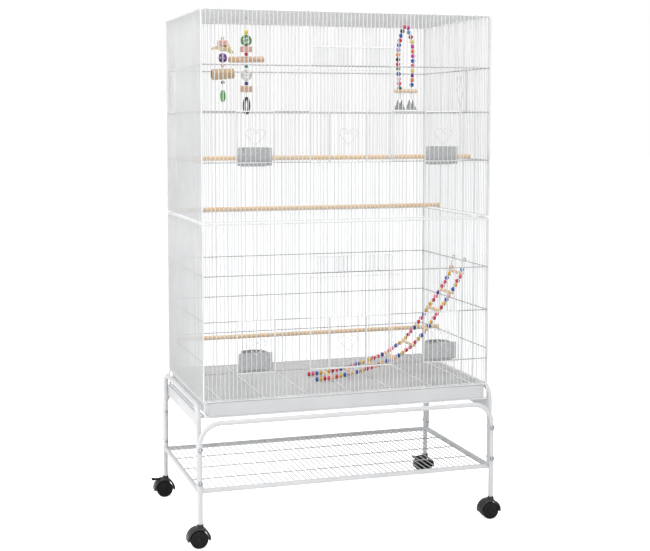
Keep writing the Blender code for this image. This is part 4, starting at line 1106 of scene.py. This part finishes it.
def cup(middle, low, sill_z):
    """Bowl, rim, front plate and lip."""
    half = CUP_WIDTH / 2
    face = -FRONT_FACE + PANEL_DEPTH + CLEARANCE
    back = face + CUP_REACH
    top = low + CUP_HEIGHT
    bowl = pan((middle - half, face, low), (middle + half, back, top), CUP_WALL, CUP_CORNER, CUP_BACK_BEND,
               CUP_CORNER)
    inset = CUP_RIM * 0.6
    rim_z = top - CUP_RIM
    left = middle - half + inset
    right = middle + half - inset
    rim = bent_bar([(left, face + inset, rim_z), (left, back - inset, rim_z), (right, back - inset, rim_z),
                    (right, face + inset, rim_z)], CUP_RIM, CUP_BACK_BEND - inset, 10)
    plate = slab((middle - CUP_FLANGE_WIDTH / 2, face, low),
                 (middle + CUP_FLANGE_WIDTH / 2, face + CUP_WALL, top), CUP_WALL * 0.4)
    lip_low = sill_z + BAR / 2 + CLEARANCE
    lip = slab((middle - CUP_LIP_WIDTH / 2, -FRONT_FACE + CLEARANCE, lip_low),
               (middle + CUP_LIP_WIDTH / 2, face + CUP_WALL, lip_low + CUP_WALL), CUP_WALL * 0.4)
    return joined([bowl, rim, plate, lip])


for tier, low, high, sill, feeder_head, door_head in TIERS:
    sill_z = CAGE_FLOOR_Z + sill
    for side_name, side in SIDES:
        seed_cup = cup(side * FEEDER_CENTRE, sill_z - CUP_DROP[tier], sill_z)
        finished(seed_cup, f"seed_cup_{side_name}_{tier}", CUP_PLASTIC, [f"cup_{side_name}_{tier}"])


# Perches. Three straight dowels of pale wood, turned smooth, with their end edges broken. The notched
# ends rest on the cross wires of the two side walls.
PERCH_RADIUS = 0.0062
PERCH_HALF = 0.38985
PERCH_RING = 0.008
PERCHES = (("front", -0.109, 0.9825), ("middle", 0.106, 0.8350), ("low", 0.106, 0.4760))
DOWEL_EDGE = 0.0012
STREAK_SHARE = 0.55
BAND_SHARE = 0.45
WOOD_GRAIN_DEPTH = 0.00012

# Waves in a metre and detail of the grain's streaks and of its bands
WOOD_NOISES = ((620, 5), (130, 2))


def wood(name, light, dark, roughness, along):
    """Planed wood: streaks drawn out along one axis over slower bands of darker growth."""
    made, tree, shader = new_finish(name)
    place = tree.nodes.new("ShaderNodeTexCoord")
    drawn = fed(tree, tree.nodes.new("ShaderNodeMapping"),
                {"Vector": place.outputs["Object"], "Scale": along})
    noises = []
    for scale, detail in WOOD_NOISES:
        noise = fed(tree, tree.nodes.new("ShaderNodeTexNoise"),
                    {"Vector": drawn.outputs["Vector"], "Scale": scale, "Detail": detail})
        noises.append(noise.outputs["Fac"])
    streaks, bands = noises
    slow = reckoned(tree, "MULTIPLY", bands, BAND_SHARE)
    both = reckoned(tree, "MULTIPLY_ADD", streaks, STREAK_SHARE, slow)
    fed(tree, shader, {"Base Color": coloured(tree, dark, light, spread(tree, both, 0, 1)),
                       "Roughness": spread(tree, streaks, roughness + 0.08, roughness - 0.08),
                       "Normal": bumped(tree, streaks, WOOD_GRAIN_DEPTH)})
    return made


def dowel(place, axis, half, radius, end_radius, sides=28, rings=()):
    """A turned rod with broken end edges, its mesh ringed again at these distances from each end."""
    points = [(-half, 0.0), (-half, end_radius), (-half + DOWEL_EDGE, radius)]
    points += [(-half + ring, radius) for ring in rings]
    return turned_profile(mirrored(points), place, axis, sides)


PALE_WOOD = wood("pale_dowel_wood", (0.80, 0.61, 0.41), (0.66, 0.46, 0.27), 0.55, (0.05, 1, 1))

for name, y, z in PERCHES:
    perch = dowel((0, y, z), (1, 0, 0), PERCH_HALF, PERCH_RADIUS, PERCH_RADIUS - DOWEL_EDGE,
                  rings=[PERCH_RING])
    finished(perch, f"dowel_{name}", PALE_WOOD, [f"perch_{name}"])


# Hanging toys. Dyed wooden beads and blocks, openwork rattan balls, a rolled rattan bundle, a husk
# and a plastic ring, threaded on a cord that hangs by a wire ring from the roof.
TOY_TOP = 1.3524
TOY_CORD = 0.0007
HANGER_RADIUS = 0.0045
HANGER_WIRE = 0.0008
HANGER_Z = 1.3535
RATTAN_STRAND = 0.0011
RATTAN_RINGS = 11
ROLL_STRANDS = 15
HUSK_THICKNESS = 0.0007
RATTAN_TOY_X = -0.282
BALL_TOY_X = -0.217
DYES = {"red": (0.60, 0.02, 0.04), "crimson": (0.42, 0.01, 0.05), "pink": (0.80, 0.10, 0.20),
        "magenta": (0.60, 0.03, 0.30), "orange": (0.85, 0.20, 0.02), "gold": (0.70, 0.42, 0.04),
        "yellow": (0.80, 0.60, 0.05), "olive": (0.20, 0.22, 0.05), "green": (0.09, 0.33, 0.07),
        "dark_green": (0.015, 0.13, 0.07), "teal": (0.03, 0.30, 0.32), "light_blue": (0.14, 0.38, 0.66),
        "blue": (0.02, 0.09, 0.42), "indigo": (0.06, 0.04, 0.26), "purple": (0.18, 0.03, 0.28),
        "lavender": (0.38, 0.30, 0.60), "black": (0.012, 0.012, 0.014), "blush": (0.82, 0.58, 0.62),
        "pale_green": (0.50, 0.64, 0.36), "rose": (0.74, 0.44, 0.38), "white": (0.80, 0.80, 0.78)}

PAINTS = {}
for name, colour in DYES.items():
    shade = tuple(part * 0.72 for part in colour)
    PAINTS[name] = grained(f"{name}_dye", colour, shade, 0.30, 500, 140, 0.00005)
TAN_BLOCK = wood("tan_block_wood", (0.66, 0.45, 0.30), (0.50, 0.30, 0.18), 0.60, (0.08, 1, 1))
PINK_BLOCK = wood("pink_block_wood", (0.74, 0.42, 0.36), (0.58, 0.28, 0.24), 0.60, (0.08, 1, 1))
HUSK = wood("dry_husk", (0.74, 0.66, 0.40), (0.52, 0.40, 0.20), 0.65, (0.06, 1, 1))
RATTAN = wood("rattan", (0.66, 0.52, 0.34), (0.44, 0.30, 0.17), 0.50, (0.10, 1, 1))
TOY_STRING = grained("cotton_cord", (0.62, 0.56, 0.46), (0.46, 0.40, 0.32), 0.85, 2400, 300, 0.0001)


def bead(place, radius, half_height, dye, axis=(0, 0, 1)):
    """A turned bead with a small flat round each end of its bore."""
    barrel = domed(half_height * 0.94, radius, 0, (-66, -46, -24, 0, 24, 46, 66))
    profile = [(-half_height * 0.86, 0.0), *barrel, (half_height * 0.86, 0.0)]
    return dressed(turned_profile(profile, place, axis, 14), PAINTS[dye])


def wood_block(place, half, finish):
    """A sawn block with its edges broken."""
    low = Vector(place) - Vector(half)
    high = Vector(place) + Vector(half)
    return dressed(slab(low, high, min(half) * 0.28, 3), finish)


def openwork_ball(place, radius, finish, seed):
    """A ball wound from rattan strands, as rings tilted every way."""
    tilt = random.Random(seed)
    rings = []
    for index in range(RATTAN_RINGS):
        turn = (math.radians(index * 33 + tilt.uniform(-9, 9)), math.radians(tilt.uniform(0, 180)), 0)
        ring = formed(bpy.ops.mesh.primitive_torus_add, location=place, rotation=turn, major_segments=26,
                      minor_segments=6, major_radius=radius - RATTAN_STRAND * (1 + 0.3 * (index % 3)),
                      minor_radius=RATTAN_STRAND)
        rings.append(ring)
    return dressed(joined(rings), finish)


def rattan_roll(place, half_length, radius):
    """A roll of split rattan, open at both ends, its strands wound close round it."""
    bore = radius - radius * 0.22
    step = 2 * half_length / ROLL_STRANDS
    profile = [(-half_length, bore)]
    for index in range(ROLL_STRANDS):
        start = -half_length + 2 * half_length * index / ROLL_STRANDS
        taper = 1 - 0.10 * index / ROLL_STRANDS
        low = radius * 0.93 * taper
        high = radius * taper
        profile += [(start + step * 0.10, low), (start + step * 0.35, high), (start + step * 0.65, high),
                    (start + step * 0.90, low)]
    profile += [(half_length, bore * 0.9), (-half_length, bore)]
    return dressed(turned_profile(profile, place, (1, 0, 0.06), 22), RATTAN)


def husk_leaf(place, reach, width, lift, droop):
    """One dry leaf from the cord outwards: a strip that widens, arches and narrows to its tip."""
    leaf = added(bpy.ops.mesh.primitive_grid_add, x_subdivisions=10, y_subdivisions=4, size=1,
                 location=(0, 0, 0))
    for vertex in leaf.data.vertices:
        along = vertex.co.x + 0.5
        across = vertex.co.y
        half = width * (0.35 + 1.3 * along) * max(0.08, 1 - along ** 3)
        vertex.co = Vector((reach * along, across * half * 0.5 - 0.2 * width * math.cos(across * 6),
                            lift * math.sin(along * math.pi) - droop * along ** 2 + across * half * 1.7))
    leaf.data.transform(Matrix.Translation(place))
    modified(leaf, "SOLIDIFY", thickness=HUSK_THICKNESS)
    edited()
    faced_out()
    return dressed(leaf, HUSK)


def plastic_ring(place, radius, band, turn):
    """A glossy ring hung on edge: a band spun round and thinned towards its rim."""
    shares = ((-0.8, 1), (-1, 0.5), (-0.7, 0.1), (0, 0), (0.7, 0.1), (1, 0.5), (0.8, 1), (0, 1.12),
              (-0.8, 1))
    profile = [(band * across, radius - band * deep) for across, deep in shares]
    axis = (math.cos(math.radians(turn)), math.sin(math.radians(turn)), 0)
    return dressed(turned_profile(profile, place, axis, 40), PAINTS["black"])


def threaded(x, drop):
    """The cord from the roof down and the wire ring that it hangs by."""
    cord = straight_wire((x, 0, TOY_TOP - drop), (x, 0, HANGER_Z - HANGER_RADIUS), TOY_CORD, 8)
    hanger = formed(bpy.ops.mesh.primitive_torus_add, location=(x, 0, HANGER_Z),
                    rotation=(0, math.pi / 2, 0), major_segments=24, minor_segments=8,
                    major_radius=HANGER_RADIUS, minor_radius=HANGER_WIRE)
    return [dressed(cord, TOY_STRING), dressed(hanger, ZINC)]


def hung(x, drop):
    """A place on a toy's cord, by how far it is below the roof."""
    return Vector((x, 0, TOY_TOP - drop))


x = RATTAN_TOY_X
knot = hung(x, 0.082)
rattan_toy = [*threaded(x, 0.226), bead(hung(x, 0.054), 0.0052, 0.0052, "pale_green"),
              wood_block(hung(x, 0.067), (0.0135, 0.009, 0.0072), PINK_BLOCK),
              husk_leaf(knot, 0.030, 0.016, 0.005, 0.010),
              husk_leaf(knot + Vector((0, 0.002, 0.002)), 0.024, 0.012, 0.006, 0.002),
              husk_leaf(knot, -0.031, -0.006, 0.003, 0.002),
              dressed(bead(knot, 0.0105, 0.0080, "pale_green"), HUSK),
              openwork_ball(hung(x, 0.106), 0.0127, PAINTS["purple"], 5),
              bead(hung(x, 0.1265), 0.0052, 0.0062, "gold"), rattan_roll(hung(x, 0.149), 0.0300, 0.0150),
              bead(hung(x, 0.171), 0.0052, 0.0052, "purple"), bead(hung(x, 0.207), 0.0073, 0.0185, "green"),
              bead(hung(x, 0.2255), 0.0022, 0.0022, "white")]
finished(joined(rattan_toy), "rattan_bundle_toy", None, ["toy_rattan"], "toy_rattan")

# The cross stick's outline: distance along it, and radius
STICK_LINE = ((-0.048, 0.0), (-0.048, 0.0066), (-0.046, 0.0078), (-0.012, 0.0082), (0.020, 0.0078),
              (0.046, 0.0080), (0.048, 0.0068), (0.048, 0.0))

x = BALL_TOY_X
ball_toy = [*threaded(x, 0.214), bead(hung(x, 0.037), 0.0065, 0.0066, "yellow"),
            openwork_ball(hung(x, 0.059), 0.0152, PAINTS["green"], 11),
            wood_block(hung(x, 0.0822), (0.0150, 0.011, 0.0073), PINK_BLOCK),
            bead(hung(x, 0.0955), 0.0055, 0.0055, "red"),
            dressed(turned_profile(STICK_LINE, hung(x, 0.1095), (1, 0, 0.02), 22), TAN_BLOCK),
            bead(hung(x, 0.1270), 0.0060, 0.0058, "teal"),
            openwork_ball(hung(x, 0.151), 0.0152, PAINTS["white"], 23),
            bead(hung(x, 0.173), 0.0058, 0.0058, "indigo"),
            wood_block(hung(x, 0.188), (0.0150, 0.012, 0.0083), TAN_BLOCK),
            plastic_ring(hung(x, 0.2325), 0.0235, 0.0042, 3)]
finished(joined(ball_toy), "ball_toy", None, ["toy_balls"], "toy_balls")


# Swing. A loop of wire threaded with dyed wooden beads, drawn in at the top, which carries a short
# dowel with two tin bells under it.
SWING_X = 0.240
SWING_PITCH = 0.0133
SWING_BEAD = 0.0066
SWING_WIRE = 0.0010
SWING_BEND = 0.006
SWING_DROP = 0.006
SWING_BAR_Z = 1.1624
SWING_BAR_RADIUS = 0.0060
SWING_BAR_HALF = 0.0330

# The loop's half width at a few heights, from the top down
SWING_LINE = ((1.3450, 0.0005), (1.3360, 0.0068), (1.3100, 0.0158), (1.2820, 0.0212), (1.2560, 0.0227),
              (1.2300, 0.0222), (1.2050, 0.0202), (1.1700, 0.0176))

# The beads' dyes down each side, from the top
SWING_LEFT = ("pink", "black", "blue", "red", "blue", "lavender", "orange", "black", "red", "olive", "blue",
              "blush", "pink", "dark_green")
SWING_RIGHT = ("magenta", "light_blue", "crimson", "yellow", "magenta", "orange", "magenta", "blue", "pink",
               "yellow", "purple", "orange", "blue")


def along_line(line, distance):
    """The point at a distance along a line of points, and the direction there."""
    for start, end in zip(line, line[1:]):
        run = end - start
        if distance <= run.length or end is line[-1]:
            return start + run.normalized() * distance, run.normalized()
        distance -= run.length


swing_parts = []
for side, dyes in ((-1, SWING_LEFT), (1, SWING_RIGHT)):
    line = [Vector((SWING_X + side * half, 0, z)) for z, half in SWING_LINE]
    swing_parts.append(dressed(bent_bar(line, SWING_WIRE, SWING_BEND, 8), ZINC))
    for index, dye in enumerate(dyes):
        at, heading = along_line(line, SWING_PITCH * (index + 0.5 + 0.25 * (side > 0)))
        swing_parts.append(bead(at, SWING_BEAD, SWING_BEAD, dye, heading))
swing_parts += threaded(SWING_X, SWING_DROP)
finished(joined(swing_parts), "beaded_loop", None, ["swing_beads"], "swing")

rod = dowel((SWING_X, 0, SWING_BAR_Z), (1, 0, 0), SWING_BAR_HALF, SWING_BAR_RADIUS,
            SWING_BAR_RADIUS - DOWEL_EDGE)
finished(rod, "swing_dowel", PALE_WOOD, ["swing_bar"], "swing")


# Bells. Two cones drawn from tin sheet with a rolled mouth. Each hangs from the dowel by a wire loop
# and has a small clapper on a thread inside.
BELL_RADIUS = 0.0155
BELL_TOP = 0.0058
BELL_HEIGHT = 0.028
BELL_WALL = 0.0007
BELL_APART = 0.017
BELL_DROP = 0.024
BELL_LOOP = 0.0022
BELL_LOOP_WIRE = 0.0007
BELL_LOOP_BEND = 0.0018
CLAPPER_RADIUS = 0.0030
CLAPPER_THREAD = 0.0005

TIN = grained("bell_tin", (0.62, 0.62, 0.63), (0.46, 0.46, 0.47), 0.22, 1200, 60, 0.00004, metallic=1.0)

for side_name, side in SIDES:
    place = Vector((SWING_X + side * BELL_APART, 0, SWING_BAR_Z - BELL_DROP))
    waist = BELL_RADIUS * 0.64
    mouth = BELL_RADIUS * 0.95
    outline = [(0, 0.0), (0, BELL_TOP * 0.8), (-0.001, BELL_TOP), (-BELL_HEIGHT * 0.5, waist),
               (-BELL_HEIGHT + 0.002, mouth), (-BELL_HEIGHT, BELL_RADIUS),
               (-BELL_HEIGHT - 0.0004, BELL_RADIUS - BELL_WALL), (-BELL_HEIGHT + 0.002, mouth - BELL_WALL),
               (-BELL_HEIGHT * 0.5, waist - BELL_WALL), (-0.002, BELL_TOP - BELL_WALL), (-0.002, 0.0)]
    shell = turned_profile(outline, place, (0, 0, 1), 32)
    foot = -0.0005
    top = BELL_DROP - SWING_BAR_RADIUS - 0.0006
    corners = ((-BELL_LOOP, foot), (-BELL_LOOP, top), (BELL_LOOP, top), (BELL_LOOP, foot))
    loop = bent_bar([place + Vector((x, 0, z)) for x, z in corners], BELL_LOOP_WIRE, BELL_LOOP_BEND, 8)
    clapper = bead(place - Vector((0, 0, BELL_HEIGHT * 0.82)), CLAPPER_RADIUS, CLAPPER_RADIUS, "black")
    thread = straight_wire(place - Vector((0, 0, 0.001)), place - Vector((0, 0, BELL_HEIGHT * 0.8)),
                           CLAPPER_THREAD, 8)
    finished(joined([shell, loop, clapper, thread]), f"tin_bell_{side_name}", TIN, [f"bell_{side_name}"],
             f"bell_{side_name}")


# Ladder. Turned wooden rungs on two cords, with four dyed beads on each cord between them. It
# hooks on the right wall and its foot lies on the floor wires.
LADDER_Y = -0.050
LADDER_HALF_WIDTH = 0.038
LADDER_RUNG = 0.0045
LADDER_REACH = 0.046
LADDER_BEAD = 0.0062
LADDER_HOOK = 0.0011
LADDER_BEADS = 4
LADDER_CORD = TOY_CORD * 1.4
LADDER_BEND = 0.02
LADDER_HOOK_BEND = 0.0025
TOP_BEAD_RISE = 0.0105

# The cords' route: how far in from the right wall, and how high above the cage floor
LADDER_ROUTE = ((0.0078, 0.324), (0.0135, 0.285), (0.044, 0.232), (0.081, 0.183), (0.117, 0.133),
                (0.158, 0.090), (0.210, 0.058), (0.270, 0.0375), (0.331, 0.022), (0.393, 0.0135),
                (0.446, 0.0103))

# Each hook's wire: how far out from the cord's top, and how far up
HOOK_LINE = ((-0.001, -0.012), (-0.001, 0.004), (0.0058, 0.004), (0.0058, -0.004))

# The beads' dyes down each cord, of the rear one and the front one
LADDER_DYES = {1: ("gold", "blue", "pink", "red", "indigo", "pink", "red", "gold"),
               -1: ("pink", "red", "gold", "blue", "rose", "blue", "gold", "red")}

LADDER_WOOD = wood("pale_rung_wood", (0.78, 0.58, 0.38), (0.62, 0.42, 0.24), 0.55, (1, 0.06, 1))

route = [(CAGE_WIDTH / 2 - inward, CAGE_FLOOR_Z + height) for inward, height in LADDER_ROUTE]
ladder_parts = []
for side in (-1, 1):
    y = LADDER_Y + side * LADDER_HALF_WIDTH
    line = [Vector((x, y, z)) for x, z in route]
    ladder_parts.append(dressed(bent_bar(line, LADDER_CORD, LADDER_BEND, 8), TOY_STRING))
    hook = [line[0] + Vector((out, 0, up)) for out, up in HOOK_LINE]
    ladder_parts.append(dressed(bent_bar(hook, LADDER_HOOK, LADDER_HOOK_BEND, 8), ZINC))
    count = 0
    for start, end in zip(line[1:], line[2:]):
        run = end - start
        heading = run.normalized()
        for index in range(LADDER_BEADS):
            share = LADDER_RUNG + (run.length - 2 * LADDER_RUNG) * (index + 0.5) / LADDER_BEADS
            dye = LADDER_DYES[side][count % len(LADDER_DYES[side])]
            ladder_parts.append(bead(start + heading * share, LADDER_BEAD, LADDER_BEAD * 1.06, dye, heading))
            count += 1
    rise = line[0] - line[1]
    ladder_parts.append(bead(line[1] + rise.normalized() * TOP_BEAD_RISE, LADDER_BEAD, LADDER_BEAD,
                             "rose" if side > 0 else "light_blue", rise))
for x, z in route[1:-1]:
    rung = dowel((x, LADDER_Y, z), (0, 1, 0), LADDER_REACH, LADDER_RUNG, LADDER_RUNG * 0.7, 20)
    ladder_parts.append(dressed(rung, LADDER_WOOD))
finished(joined(ladder_parts), "bead_ladder", None, ["rope_ladder"])


low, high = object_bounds()
